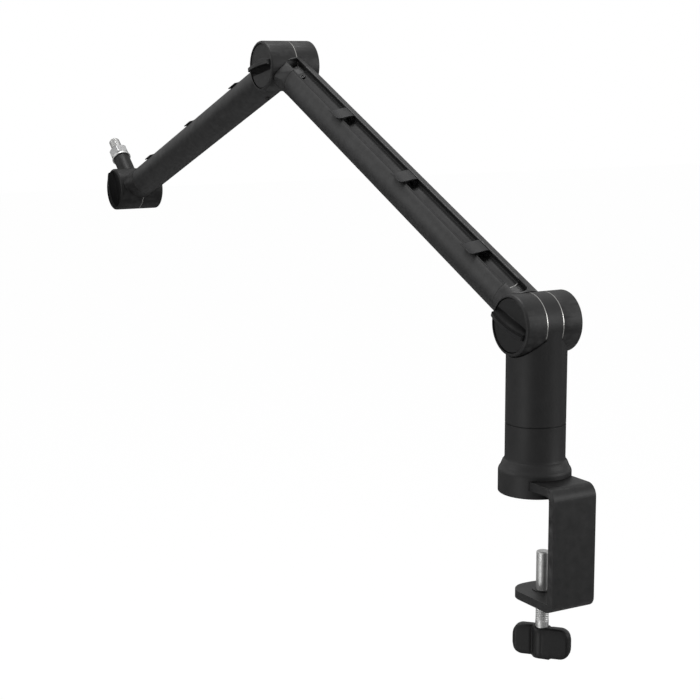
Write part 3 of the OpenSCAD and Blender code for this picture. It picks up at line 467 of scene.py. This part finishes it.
# CAD castings and plates whose sharp edges get a small round: node, body, slot, finish, round in mm
softenedNodes = {
    "clamp_bracket": ("bracketPlate", "root", "black_steel", "blackSteel", 0.45),
    "base_housing": ("baseCasting", "root", "black_coat", "blackCoat", 0.3),
    "column": ("columnCasting", "column", "black_coat", "blackCoat", 0.3),
    "lower_arm_foot": ("lowerArmFoot", "lower_arm", "black_coat", "blackCoat", 0.3),
    "lower_arm_head": ("lowerArmHead", "lower_arm", "black_coat", "blackCoat", 0.3),
    "upper_arm_foot": ("upperArmFoot", "upper_arm", "black_coat", "blackCoat", 0.3),
    # The wrist's castings get the darker, less shiny copy of the coat: painted shade
    "upper_arm_head": ("upperArmHead", "upper_arm", "black_coat", "wristPaintedShadeCoat", 0.3),
    "mic_mount_body": ("micMountCasting", "mic_mount", "black_coat", "wristPaintedShadeCoat", 0.3),
}


# Distance in mm within which points are merged, and angles in degrees: a smaller one between two faces
# joins them up, and a larger one is a sharp edge
softening = {"mergeDistance": 0.004, "flatAngle": 0.4, "sharpAngle": 30}


# A merged copy of the CAD mesh, its flat faces joined up, with a Bevel on its sharp edges
def addSoftened(node, name, body, slot, finish, width):
    work = bmesh.new()
    work.from_mesh(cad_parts[node].data)
    bmesh.ops.remove_doubles(work, verts=work.verts, dist=softening["mergeDistance"] * mm)
    bmesh.ops.dissolve_limit(work, angle_limit=math.radians(softening["flatAngle"]), verts=work.verts,
                             edges=work.edges)
    mesh = bpy.data.meshes.new(name)
    work.to_mesh(mesh)
    work.free()
    stale = ("custom_normal", "sharp_face", "sharp_edge")
    for key in [a.name for a in mesh.attributes if a.name in stale]:
        mesh.attributes.remove(mesh.attributes[key])
    mesh.materials.clear()
    mesh.materials.append(finishes[finish])
    mesh.shade_smooth()
    mesh.set_sharp_from_angle(angle=math.radians(softening["sharpAngle"]))
    piece = bpy.data.objects.new(name, mesh)
    bpy.context.scene.collection.objects.link(piece)
    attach(piece, body)
    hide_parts(node)
    addBevel(piece, width, softening["sharpAngle"])


for node, values in softenedNodes.items():
    addSoftened(node, *values)
print("castings softened:", len(softenedNodes))


tubeShape = {
    "lowerRadius": 13.3,
    "upperRadius": 12.65,
    "wall": 1.8,
    "seam": 28.0,
    "channelWidth": 8.8,
    "channelDepth": 5.5,
    "channelRound": 2.8,
    "channelWall": 1.6,
    "lipRound": 0.6,
    "lipPoints": 6,
    "outsidePoints": 120,
    "wallPoints": 5,
    "cornerPoints": 7,
    "floorPoints": 8,
    "endBevel": 0.3,
}


# Outline of a channelled tube seen along it: the round outside from lip to lip, a small round over
# each lip, down the wall, round the corner and across the floor. The inner outline has as many points.
# Also gives the point at which the channel's wall starts, and that from which the floor's painted shade
# starts
def tubeOutlines(radius, t):
    half, low, k = t["channelWidth"] / 2, radius - t["channelDepth"], t["channelRound"]
    lip = t["lipRound"]
    lipAngle = math.degrees(math.asin((half + lip) / (radius - lip)))
    centre = (half + lip, (radius - lip) * math.cos(math.radians(lipAngle)))
    rightLip = arcPoints(centre, lip, 180, 90 - lipAngle, t["lipPoints"])
    outside = arcPoints((0, 0), radius, 90 - lipAngle, lipAngle + 90 - 360, t["outsidePoints"])[1:-1]
    leftLip = rightLip[::-1] * [-1, 1]
    wallDown = np.linspace([-half, centre[1]], [-half, low + k], t["wallPoints"])[1:-1]
    corner = arcPoints((-half + k, low + k), k, 180, 270, t["cornerPoints"])
    floor = np.linspace([-half + k, low], [half - k, low], t["floorPoints"])[1:-1]
    outer = np.concatenate([rightLip, outside, leftLip, wallDown, corner, floor,
                            corner[::-1] * [-1, 1], wallDown[::-1] * [-1, 1]])
    inRadius, inHalf, inLow = radius - t["wall"], half + t["channelWall"], low - t["channelWall"]
    inner = outer * (inRadius / radius)
    wallFrom = len(rightLip) + len(outside) + len(leftLip)
    cornerFrom = wallFrom + len(wallDown)
    floorFrom = cornerFrom + len(corner) // 2
    side = np.sign(inner[:, 0] + 1e-9)        # the tiny shift gives a middle point a side too
    inChannel = (inner[:, 1] > inLow) & (np.abs(inner[:, 0]) < inHalf)
    inner[:, 0] = np.where(inChannel, side * inHalf, inner[:, 0])
    over = (inner[:, 1] > inLow) & (np.hypot(inner[:, 0], inner[:, 1]) > inRadius)
    inner[over, 1] = np.sqrt(inRadius ** 2 - inner[over, 0] ** 2)
    count = 2 * len(corner) + len(floor)
    across = np.linspace(-inHalf, inHalf, count)
    inner[cornerFrom:cornerFrom + count] = np.stack([across, np.full(count, inLow)], -1)
    return outer, inner, wallFrom, floorFrom


# The end faces of the channel's walls are bare metal, and the floor and one wall with its lip get a
# darker, less shiny copy of the coat: painted shade
def addTube(name, node, body, place, radius, length, finish):
    t = tubeShape
    outer, inner, wallFrom, floorFrom = tubeOutlines(radius, t)
    small = grownOutline(outer, -t["endBevel"])
    start, end, b = t["seam"], length - t["seam"], t["endBevel"]
    rows = [(small, start), (outer, start + b), (outer, end - b), (small, end), (inner, end),
            (inner, start)]
    loops = [np.column_stack([np.full(len(line), x), line]) for line, x in rows]
    verts, quads, caps = loft(loops, ring=True)
    column = np.arange(len(quads)) % len(outer)
    row = np.arange(len(quads)) // len(outer)
    bare = (column >= wallFrom) & np.isin(row, [0, 2, 3, 5])
    # Faces that get the darker, less shiny channel coat: painted shade
    paintedShadeFaces = ((column >= floorFrom) | (column < t["lipPoints"])) & (row == 1)
    addPiece(name, [(placed(verts, place), quads, caps)], body, [node],
             [finishes[finish], finishes["bareEdge"], finishes["channelPaintedShadeCoat"]], bare + 2 * paintedShadeFaces,
             sharpAngle=28)


# The lower tube gets a shinier copy of the upper tube's coat: painted sheen
addTube("lowerTube", "lower_tube", "lower_arm", lowerPlace, tubeShape["lowerRadius"],
        armLayout["lowerLength"], "lowerTubePaintedSheenCoat")
addTube("upperTube", "upper_tube", "upper_arm", upperPlace, tubeShape["upperRadius"],
        armLayout["upperLength"], "blackCoat")
print("tubes made")


clipShape = {
    "length": 12.0,
    "thickness": 0.8,
    "foot": 0.4,
    "wallTop": -1.0,
    "cornerPoints": 7,
    "lowerPlate": [(0.75, -0.4), (1.6, -0.1), (4.4, 0.3), (7.2, 0.55), (9.3, 0.8), (11.4, 1.15),
                   (12.8, 1.7), (13.7, 2.5)],
    "upperPlate": [(0.75, -0.4), (1.6, -0.1), (4.4, 0.2), (7.2, 0.4), (9.0, 0.6), (10.4, 0.75)],
    "edgeRound": 0.2,
    "lowerFrom": 67.0,
    "lowerTo": 246.0,
    "upperFrom": 71.0,
    "upperTo": 251.0,
    "count": 3,
}


# Outline of a clip, half its thickness to each side of a middle line: a foot on the floor, round the
# channel's corner, up the wall, and over the channel to a tab that turns up. The plate's points are
# distances from the wall and heights above the lip
def clipOutline(radius, plate):
    c, t = clipShape, tubeShape
    k, half = t["channelRound"], c["thickness"] / 2
    floor, side = radius - t["channelDepth"], -t["channelWidth"] / 2
    lip = math.sqrt(radius ** 2 - side ** 2)
    line = np.concatenate([
        [[side + k + c["foot"], floor + half]],
        arcPoints((side + k, floor + k), k - half, 270, 180, c["cornerPoints"]),
        [[side + half, lip + c["wallTop"]]],
        np.array(plate) + [side, lip]])
    along = np.gradient(line, axis=0)
    along /= np.linalg.norm(along, axis=1, keepdims=True)
    out = np.stack([-along[:, 1], along[:, 0]], -1) * half
    return np.concatenate([line + out, (line - out)[::-1]])


def addClips(name, node, body, place, radius, plate, first, last):
    c = clipShape
    outline = clipOutline(radius, plate)
    parts = []
    for x in np.linspace(first, last, c["count"]):
        loops = [np.column_stack([np.full(len(outline), end), outline])
                 for end in (x - c["length"] / 2, x + c["length"] / 2)]
        verts, quads, caps = loft(loops)
        parts.append((placed(verts, place), quads, caps))
    piece = addPiece(name, parts, body, [node], [finishes["clipPlastic"]])
    addBevel(piece, c["edgeRound"], angle=50)


addClips("lowerClips", "lower_clips", "lower_arm", lowerPlace, tubeShape["lowerRadius"],
         clipShape["lowerPlate"], clipShape["lowerFrom"], clipShape["lowerTo"])
addClips("upperClips", "upper_clips", "upper_arm", upperPlace, tubeShape["upperRadius"],
         clipShape["upperPlate"], clipShape["upperFrom"], clipShape["upperTo"])
print("clips made")


screwShape = {"radius": 1.5, "length": 5.0, "headRadius": 2.1, "headHeight": 1.1, "headRound": 0.4,
              "socketRadius": 1.05, "socketDepth": 0.7, "mouthShare": 1.12, "mouthDepth": 0.12,
              "side": 0.8, "inset": 6.0, "segments": 48}


# Button head with a hexagon socket: circles up the shank and over the head, hexagons down the socket
def socketScrew():
    s = screwShape
    k, top, n = s["headRound"], s["headHeight"], s["segments"]
    over = arcPoints((s["headRadius"] - k, top - k), k, 0, 90, 5)
    shank = [[s["radius"], -s["length"]], [s["radius"], 0], [s["headRadius"], 0]]
    loops = turned(np.concatenate([shank, over]), n)
    a = roundAngles(n)
    hexagon = hexagonRadius(s["socketRadius"] * math.cos(math.pi / 6), a)
    for share, z in ((s["mouthShare"], top), (1.0, top - s["mouthDepth"]), (1.0, top - s["socketDepth"])):
        ring = np.stack([share * hexagon * np.cos(a), share * hexagon * np.sin(a), np.full(n, z)], -1)
        loops = np.concatenate([loops, ring[None]])
    return loft(loops)


# One screw in the channel near the far end, and one underneath near the pivot end
def addTubeScrews(name, node, body, place, radius, length):
    s, t = screwShape, tubeShape
    verts, quads, caps = socketScrew()
    top = verts + [length - t["seam"] - s["inset"], s["side"], radius - t["channelDepth"]]
    low = verts @ turnX(180).T + [t["seam"] + s["inset"], 0, -radius]
    level = (place[0], place[1] @ turnX(armLayout["channelRoll"]))
    addPiece(name, [(placed(top, place), quads, caps), (placed(low, level), quads, caps)], body,
             [node], [finishes["blackSteel"]])


addTubeScrews("lowerTubeScrews", "lower_tube_screws", "lower_arm", lowerPlace,
              tubeShape["lowerRadius"], armLayout["lowerLength"])
addTubeScrews("upperTubeScrews", "upper_tube_screws", "upper_arm", upperPlace,
              tubeShape["upperRadius"], armLayout["upperLength"])
print("tube screws made")


knobShape = {
    "radius": 16.0,
    "faceEdge": 0.5,
    "face": 19.4,
    "back": 12.4,
    "ridgeHeight": 5.49,
    "ridgeArc": 50.0,
    "ridgeTop": 3.0,
    "ridgeRoot": 10.0,
    "crestRound": 0.35,
    "insertRadius": 6.05,
    "insertDepth": 6.05,
    "edgeSoft": 0.08,
    "edgeShare": 0.35,
    "faceFall": 1.5,
    "faceShare": 0.9995,
    "crestPoints": 5,
    "flankPoints": 18,
    "facePoints": 24,
    "alongPoints": 72,
    "shadeFrom": 0.9,
    "turns": {"shoulder": 20.0, "elbow": -11.0, "wrist": 67.5},
    "shadedSides": {"shoulder": 1, "elbow": -1, "wrist": 1},
}


# Half of the ridge's cross-section, from its middle outwards, as (distance, height): a flat top with
# a small round, then a flank that starts upright and spreads to the root
def ridgeProfile(k):
    spread = (k["ridgeRoot"] - k["ridgeTop"]) / 2
    top, high, r = k["ridgeTop"] / 2, k["ridgeHeight"], k["crestRound"]
    crest = np.linspace([0, high], [top - r, high], k["crestPoints"])
    roundOff = arcPoints((top - r, high - r), r, 90, 0, k["crestPoints"])[1:]
    h = np.linspace(high - r, 0, k["flankPoints"])[1:]
    flank = np.stack([top + spread * ((high - r - h) / (high - r)) ** 2, h], -1)
    return np.concatenate([crest, roundOff, flank])


# Knob: rows run across the ridge and columns along it, over the whole face. The height of a point is
# that of the ridge's profile carried round an arc, sqrt((R - H + h)^2 - x^2) - (R - H), or the face.
# The mask marks one flank of the ridge: the faces on the given side, from where its shade starts. These
# faces get a near-black, dull plastic, which is painted shade
def hubKnob(side):
    k = knobShape
    edge = k["radius"] - k["faceEdge"]
    profile = ridgeProfile(k)
    outside = np.linspace(profile[-1, 0], edge * k["faceShare"], k["facePoints"])[1:]
    z = np.concatenate([profile[:, 0], outside])
    h = np.concatenate([profile[:, 1], -k["faceFall"] * (outside - profile[-1, 0])])
    z, h = np.concatenate([-z[:0:-1], z]), np.concatenate([h[:0:-1], h])
    u = np.sin(np.linspace(-np.pi / 2, np.pi / 2, k["alongPoints"]))
    x = np.outer(np.sqrt(edge ** 2 - z ** 2), u)
    inner = k["ridgeArc"] - k["ridgeHeight"]
    rise = np.sqrt(np.maximum((inner + h[:, None]) ** 2 - x ** 2, 0)) - inner
    y = k["face"] + np.maximum(rise, 0)
    top = np.stack([x, y, np.repeat(z[:, None], len(u), 1)], -1)
    rows, columns = x.shape
    faceQuads = gridQuads(rows, columns, wrapColumns=False)
    middle = side * (z[:-1] + z[1:])[:, None] / 2
    shaded = np.repeat((middle > k["shadeFrom"]) & (middle < profile[-1, 0]), columns - 1, 1).ravel()
    index = np.arange(rows * columns).reshape(rows, columns)
    rim = np.concatenate([index[0, :-1], index[:-1, -1], index[-1, :0:-1], index[:0:-1, 0]])
    verts = top.reshape(-1, 3)
    a = np.arctan2(verts[rim, 2], verts[rim, 0])
    soft, share, bevel = k["edgeSoft"], k["edgeShare"], k["faceEdge"]
    steps = [(edge, k["face"]), (edge + share * bevel, k["face"] - soft),
             (k["radius"] - soft, k["face"] - (1 - share) * bevel), (k["radius"], k["face"] - bevel),
             (k["radius"], k["back"]), (k["insertRadius"], k["back"]),
             (k["insertRadius"], k["back"] + k["insertDepth"])]
    rings = np.stack([np.stack([r * np.cos(a), np.full(len(a), level), r * np.sin(a)], -1)
                      for r, level in steps])
    start = len(verts)
    ringIndex = start + np.arange(rings.shape[0] * rings.shape[1]).reshape(rings.shape[:2])
    bands = np.concatenate([rim[None], ringIndex])
    i, j = np.meshgrid(np.arange(len(bands) - 1), np.arange(len(rim)), indexing="ij")
    jNext = (j + 1) % len(rim)
    sideQuads = np.stack([bands[i, j], bands[i + 1, j], bands[i + 1, jNext], bands[i, jNext]], -1)
    sideQuads = sideQuads.reshape(-1, 4)
    verts = np.concatenate([verts, rings.reshape(-1, 3)])
    return verts, np.concatenate([faceQuads[:, ::-1], sideQuads]), [ringIndex[-1].tolist()], shaded


def addKnob(name, node, body, centre, finish="blackPlastic"):
    joint = body.split("_")[0]
    verts, quads, caps, shaded = hubKnob(knobShape["shadedSides"][joint])
    place = (centre, turnY(-knobShape["turns"][joint]))
    # The second finish paints shade on the masked flank of the ridge
    addPiece(name, [(placed(verts, place), quads, caps)], body, [node],
             [finishes[finish], finishes["ridgePaintedShade"]], shaded, sharpAngle=38)


addKnob("shoulderKnob", "shoulder_knob", "shoulder_knob", shoulder)
addKnob("elbowKnob", "elbow_knob", "elbow_knob", elbow)
# The wrist knob gets the darker, less shiny copy of the knob plastic: painted shade
addKnob("wristKnob", "wrist_knob", "wrist_knob", wrist, "wristPaintedShadePlastic")
print("knobs made")


clampScrewShape = {"radius": 4.0, "pitch": 1.25, "depth": 0.3, "low": -94.6, "high": -40.2,
                   "threadLow": -77.2, "threadHigh": -57.0, "endBevel": 0.1, "pinRadius": 2.5,
                   "pinLength": 3.6}
studShape = {"radius": 4.7625, "pitch": 1.5875, "depth": 0.7, "low": 28.6, "high": 62.8,
             "threadLow": 29.8, "threadHigh": 64.1, "endBevel": 1.5, "pinRadius": 0.0}
threadShape = {"flatShare": 0.12, "flankShare": 0.72, "segments": 44, "rowsPerPitch": 12}


# Right-hand thread: radius = outer radius - depth * groove(z / pitch - angle / full turn), where the
# groove is a flattened triangle wave that fades in over one pitch; the end bevel caps the radius
def threadedRod(s):
    t = threadShape
    rows = int((s["high"] - s["low"]) / s["pitch"] * t["rowsPerPitch"]) + 1
    z = np.linspace(s["low"], s["high"], rows)[:, None]
    a = roundAngles(t["segments"])[None, :]
    wave = np.abs(2 * ((z / s["pitch"] - a / (2 * np.pi)) % 1) - 1)
    groove = np.clip((wave - t["flatShare"]) / t["flankShare"], 0, 1)
    fadeIn = np.clip((z - s["threadLow"]) / s["pitch"], 0, 1)
    fadeOut = np.clip((s["threadHigh"] - z) / s["pitch"], 0, 1)
    r = s["radius"] - s["depth"] * groove * (fadeIn * fadeOut)
    r = np.minimum(r, s["radius"] - np.maximum(z - (s["high"] - s["endBevel"]), 0))
    loops = np.stack([r * np.cos(a), r * np.sin(a), np.broadcast_to(z, r.shape)], -1)
    if s["pinRadius"]:
        pin = [(s["pinRadius"], s["high"]), (s["pinRadius"], s["high"] + s["pinLength"])]
        loops = np.concatenate([loops, turned(pin, t["segments"])])
    return loft(loops)


def addRod(name, node, body, place, shape):
    verts, quads, caps = threadedRod(shape)
    addPiece(name, [(placed(verts, place), quads, caps)], body, [node],
             [finishes["brightSteel"]], sharpAngle=50)


screwPlace = (np.array([armLayout["screwX"], 0, 0]), np.eye(3))
addRod("clampScrew", "clamp_screw", "clamp_screw", screwPlace, clampScrewShape)
addRod("micStud", "mic_stud", "mic_mount", stubPlace, studShape)
print("threads made")


nutShape = {"acrossFlats": 15.5, "height": 9.4, "start": 40.1, "bore": 4.81, "bevel": 2.8, "inset": 1.2,
            "edge": 0.3, "boreBevel": 0.35, "cornerShare": 0.3, "segments": 144,
            "bevelSteps": (0, 0.12, 0.3, 0.5, 0.75, 1.0)}
lockWasherShape = {"radius": 8.5, "bore": 4.81, "thickness": 1.5, "start": 38.6, "edge": 0.25,
                   "segments": 96}


# Hexagon nut: at each height the radius is the hexagon's, but never more than that of a round bevel,
# which is R(s) = flat - inset + (corner - flat + inset) sqrt(s (2 - s)) for a share s of its height
def addLockNut():
    n = nutShape
    flat = n["acrossFlats"] / 2
    corner = flat / math.cos(math.pi / 6)
    a = roundAngles(n["segments"])
    hexagon = hexagonRadius(flat, a)
    rise = n["bevel"] * np.array(n["bevelSteps"])
    z = np.concatenate([rise, n["height"] - rise[::-1]])
    inset = np.minimum(z, n["height"] - z)
    share = np.clip(inset / n["bevel"], 0, 1)
    cone = flat - n["inset"] + (corner - flat + n["inset"]) * np.sqrt(share * (2 - share))
    hexagon = np.minimum(hexagon, corner - n["edge"] * n["cornerShare"])
    r = np.minimum(hexagon[None, :], cone[:, None])
    outside = np.stack([r * np.cos(a), r * np.sin(a), np.repeat(z[:, None], len(a), 1)], -1)
    b, inner, high = n["edge"] + n["boreBevel"], n["bore"], n["height"]
    bore = turned([(inner + b, high), (inner, high - b), (inner, b), (inner + b, 0)], n["segments"])
    verts, quads, caps = loft(np.concatenate([outside, bore]), ring=True)
    addPiece("lockNut", [(placed(verts + [0, 0, n["start"]], stubPlace), quads, caps)], "lock_nut",
             ["lock_nut"], [finishes["greySteel"]])


def addLockWasher():
    w = lockWasherShape
    e, r, b, t = w["edge"], w["radius"], w["bore"], w["thickness"]
    profile = [(r - e, 0), (r, e), (r, t - e), (r - e, t), (b + e, t), (b, t - e), (b, e), (b + e, 0)]
    verts, quads, caps = loft(turned(profile, w["segments"]), ring=True)
    addPiece("lockWasher", [(placed(verts + [0, 0, w["start"]], stubPlace), quads, caps)],
             "lock_washer", ["lock_washer"], [finishes["brightSteel"]])


addLockNut()
addLockWasher()
print("lock nut and washer made")


wingShape = {
    "width": 35.7,
    "height": 18.8,
    "top": -80.6,
    "thickness": 8.0,
    "shift": 1.8,
    "corner": 6.4,
    "endRound": 2.6,
    "bossRadius": 5.8,
    "bossProud": 1.0,
    "stepWidth": 0.5,
    "creaseDepth": 0.5,
    "creaseWidth": 0.8,
    "squareness": 5.0,
    "bossSoftness": 0.25,
    "endShare": 0.94,
    "tipShare": 0.9999,
    "stations": 141,
    "segments": 72,
}


# Wing knob: loops round the cross-section, set side by side along the wings. Each loop is a rounded
# box |y/T|^n + |z/H|^n = 1 between a front and a back. H follows the outline's corners. Each wing lies
# to one side of the axis, and the boss stands out of the other side, with a soft crease beside it
def addWingKnob():
    w = wingShape
    half = w["width"] / 2
    x = half * np.sin(np.linspace(-1, 1, w["stations"]) * np.pi / 2) * w["tipShare"]
    away = np.abs(x)
    into = np.clip((away - (half - w["corner"])) / w["corner"], 0, 1)
    drop = w["corner"] * (1 - np.sqrt(1 - into ** 2))
    bossShare = 1 / (1 + np.exp((away - w["bossRadius"]) / w["bossSoftness"]))
    low = -w["height"] + drop - w["bossProud"] * bossShare
    high = -drop
    side = np.tanh(x / w["stepWidth"])
    endInto = np.clip((away - (half - w["endRound"])) / w["endRound"], 0, 1)
    wing = w["thickness"] / 2 * np.sqrt(1 - w["endShare"] * endInto ** 2)
    boss = np.sqrt(np.maximum(w["bossRadius"] ** 2 - x ** 2, 0))
    crease = w["creaseDepth"] * np.exp(-((away - w["bossRadius"]) / w["creaseWidth"]) ** 2)
    front = np.maximum(wing - w["shift"] * side, boss) - crease * (side > 0)
    back = np.minimum(-wing - w["shift"] * side, -boss) + crease * (side < 0)
    a = roundAngles(w["segments"])
    power = 2 / w["squareness"]
    y = np.sign(np.cos(a)) * np.abs(np.cos(a)) ** power
    z = np.sign(np.sin(a)) * np.abs(np.sin(a)) ** power
    loops = np.stack([np.repeat(x[:, None], len(a), 1),
                      ((front + back) / 2)[:, None] + np.outer((front - back) / 2, y),
                      ((high + low) / 2)[:, None] + np.outer((high - low) / 2, z)], -1)
    verts, quads, caps = loft(loops)
    place = (np.array([armLayout["screwX"], 0, w["top"]]), turnZ(armLayout["wingTurn"]))
    addPiece("wingKnob", [(placed(verts, place), quads, caps)], "clamp_screw", ["clamp_wing_knob"],
             [finishes["wingPlastic"]], sharpAngle=60)


addWingKnob()
print("wing knob made")


nodeFinishes = {
    "blackSteel": ["clamp_bush"],
    "blackCoat": ["shoulder_cap", "elbow_cap", "wrist_cap"],
    "rubber": ["base_pad"],
    "washerPlastic": ["swivel_washer"],
    "bronze": ["lower_bush", "upper_bush"],
    "brass": ["shoulder_insert", "elbow_insert", "wrist_insert"],
    "washerSteel": ["shoulder_washers", "elbow_washer", "wrist_washer"],
    "brightSteel": ["clamp_tip", "base_screws", "swivel_post", "post_spring", "post_nut",
                    "shoulder_bolt", "elbow_bolt", "wrist_bolt",
                    "shoulder_springs", "elbow_springs", "wrist_springs",
                    "shoulder_knob_washer", "elbow_knob_washer", "wrist_knob_washer"],
}
for finish, nodes in nodeFinishes.items():
    for node in nodes:
        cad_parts[node].data.materials[0] = finishes[finish]
print("finishes given to the nodes that stay")


studio = {
    "floorHeight": -0.73,
    "floorHalf": 12.0,
    "floorLines": 9,
    "floorRoughness": 0.9,
    "floorColour": (0.55, 0.55, 0.55),
    "floorShadowShare": 0.06,
    "floorWhite": 1.045,
    "ambient": 0.16,
    "lights": [
        {"name": "topLight", "from": (0.6, 0.1, 2.3), "at": (0.2, 0.0, 0.12),
         "size": 0.9, "power": 50.0},
        {"name": "sideLight", "from": (-1.6, -1.6, 0.6), "at": (0.1, 0.0, 0.08),
         "size": 1.2, "power": 24.0},
        {"name": "rimLight", "from": (1.2, 2.2, 0.8), "at": (0.1, 0.0, 0.1),
         "size": 1.0, "power": 13.0},
        {"name": "frontLight", "from": (-0.15, 1.2, -0.6), "at": (0.15, 0.0, 0.15),
         "size": 0.6, "power": 7.0},
    ],
    "cameraPlace": (-0.7387, 0.5526, 0.2461),
    "cameraAim": (0.8529, -0.4926, -0.1728),
    "cameraRoll": -0.24,
    "lens": 81.85,
    "sensor": 36.0,
    "clip": (0.01, 100),
}


# The floor looks white to the camera, with a small share of its own shaded paper mixed in
def addFloor():
    s = studio
    half, z, n = s["floorHalf"], s["floorHeight"], s["floorLines"]
    across = np.linspace(-half, half, n)
    x, y = np.meshgrid(across, across, indexing="xy")
    verts = np.stack([x, y, np.full_like(x, z)], -1).reshape(-1, 3)
    mesh = bpy.data.meshes.new("studioFloor")
    mesh.from_pydata(verts.tolist(), [], gridQuads(n, n, wrapColumns=False).tolist())
    floor = bpy.data.objects.new("studioFloor", mesh)
    bpy.context.scene.collection.objects.link(floor)
    material, tree, shader = newMaterial("floorPaper")
    shader.inputs["Base Color"].default_value = (*s["floorColour"], 1)
    shader.inputs["Roughness"].default_value = s["floorRoughness"]
    white = addNode(tree, "ShaderNodeEmission", {"Color": (1, 1, 1, 1), "Strength": s["floorWhite"]})
    path = addNode(tree, "ShaderNodeLightPath")
    share = mathNode(tree, "MULTIPLY", path.outputs["Is Camera Ray"], 1 - s["floorShadowShare"])
    mix = addNode(tree, "ShaderNodeMixShader", {0: share, 1: shader.outputs[0], 2: white.outputs[0]})
    tree.links.new(mix.outputs[0], tree.nodes["Material Output"].inputs["Surface"])
    mesh.materials.append(material)


# White where the camera or a reflection sees it, and a weaker white light for everything else
def setWorld():
    world = bpy.data.worlds.new("studioWorld")
    bpy.context.scene.world = world
    world.use_nodes = True
    tree = world.node_tree
    tree.nodes.clear()
    path = addNode(tree, "ShaderNodeLightPath")
    seen = mathNode(tree, "MAXIMUM", path.outputs["Is Camera Ray"], path.outputs["Is Glossy Ray"])
    seen = mathNode(tree, "MAXIMUM", seen, path.outputs["Is Transmission Ray"])
    ambient, white = [addNode(tree, "ShaderNodeBackground", {"Color": (1, 1, 1, 1), "Strength": strength})
                      for strength in (studio["ambient"], 1.0)]
    mix = addNode(tree, "ShaderNodeMixShader", {0: seen, 1: ambient.outputs[0], 2: white.outputs[0]})
    out = addNode(tree, "ShaderNodeOutputWorld")
    tree.links.new(mix.outputs[0], out.inputs["Surface"])


def addLights():
    for values in studio["lights"]:
        lamp = bpy.data.lights.new(values["name"], "AREA")
        lamp.shape = "SQUARE"
        lamp.size = values["size"]
        lamp.energy = values["power"]
        light = bpy.data.objects.new(values["name"], lamp)
        light.location = values["from"]
        aim = Vector(values["at"]) - Vector(values["from"])
        light.rotation_euler = aim.to_track_quat("-Z", "Y").to_euler()
        bpy.context.scene.collection.objects.link(light)


def addCamera():
    camera = bpy.data.cameras.new("photoCamera")
    camera.lens = studio["lens"]
    camera.sensor_width = studio["sensor"]
    camera.clip_start, camera.clip_end = studio["clip"]
    holder = bpy.data.objects.new("photoCamera", camera)
    holder.location = studio["cameraPlace"]
    look = Vector(studio["cameraAim"]).to_track_quat("-Z", "Y")
    roll = Euler((0, 0, math.radians(studio["cameraRoll"]))).to_quaternion()
    holder.rotation_euler = (look @ roll).to_euler()
    bpy.context.scene.collection.objects.link(holder)
    bpy.context.scene.camera = holder


addFloor()
setWorld()
addLights()
addCamera()
bpy.context.scene.view_settings.view_transform = "Standard"
print("floor, lights and camera set")
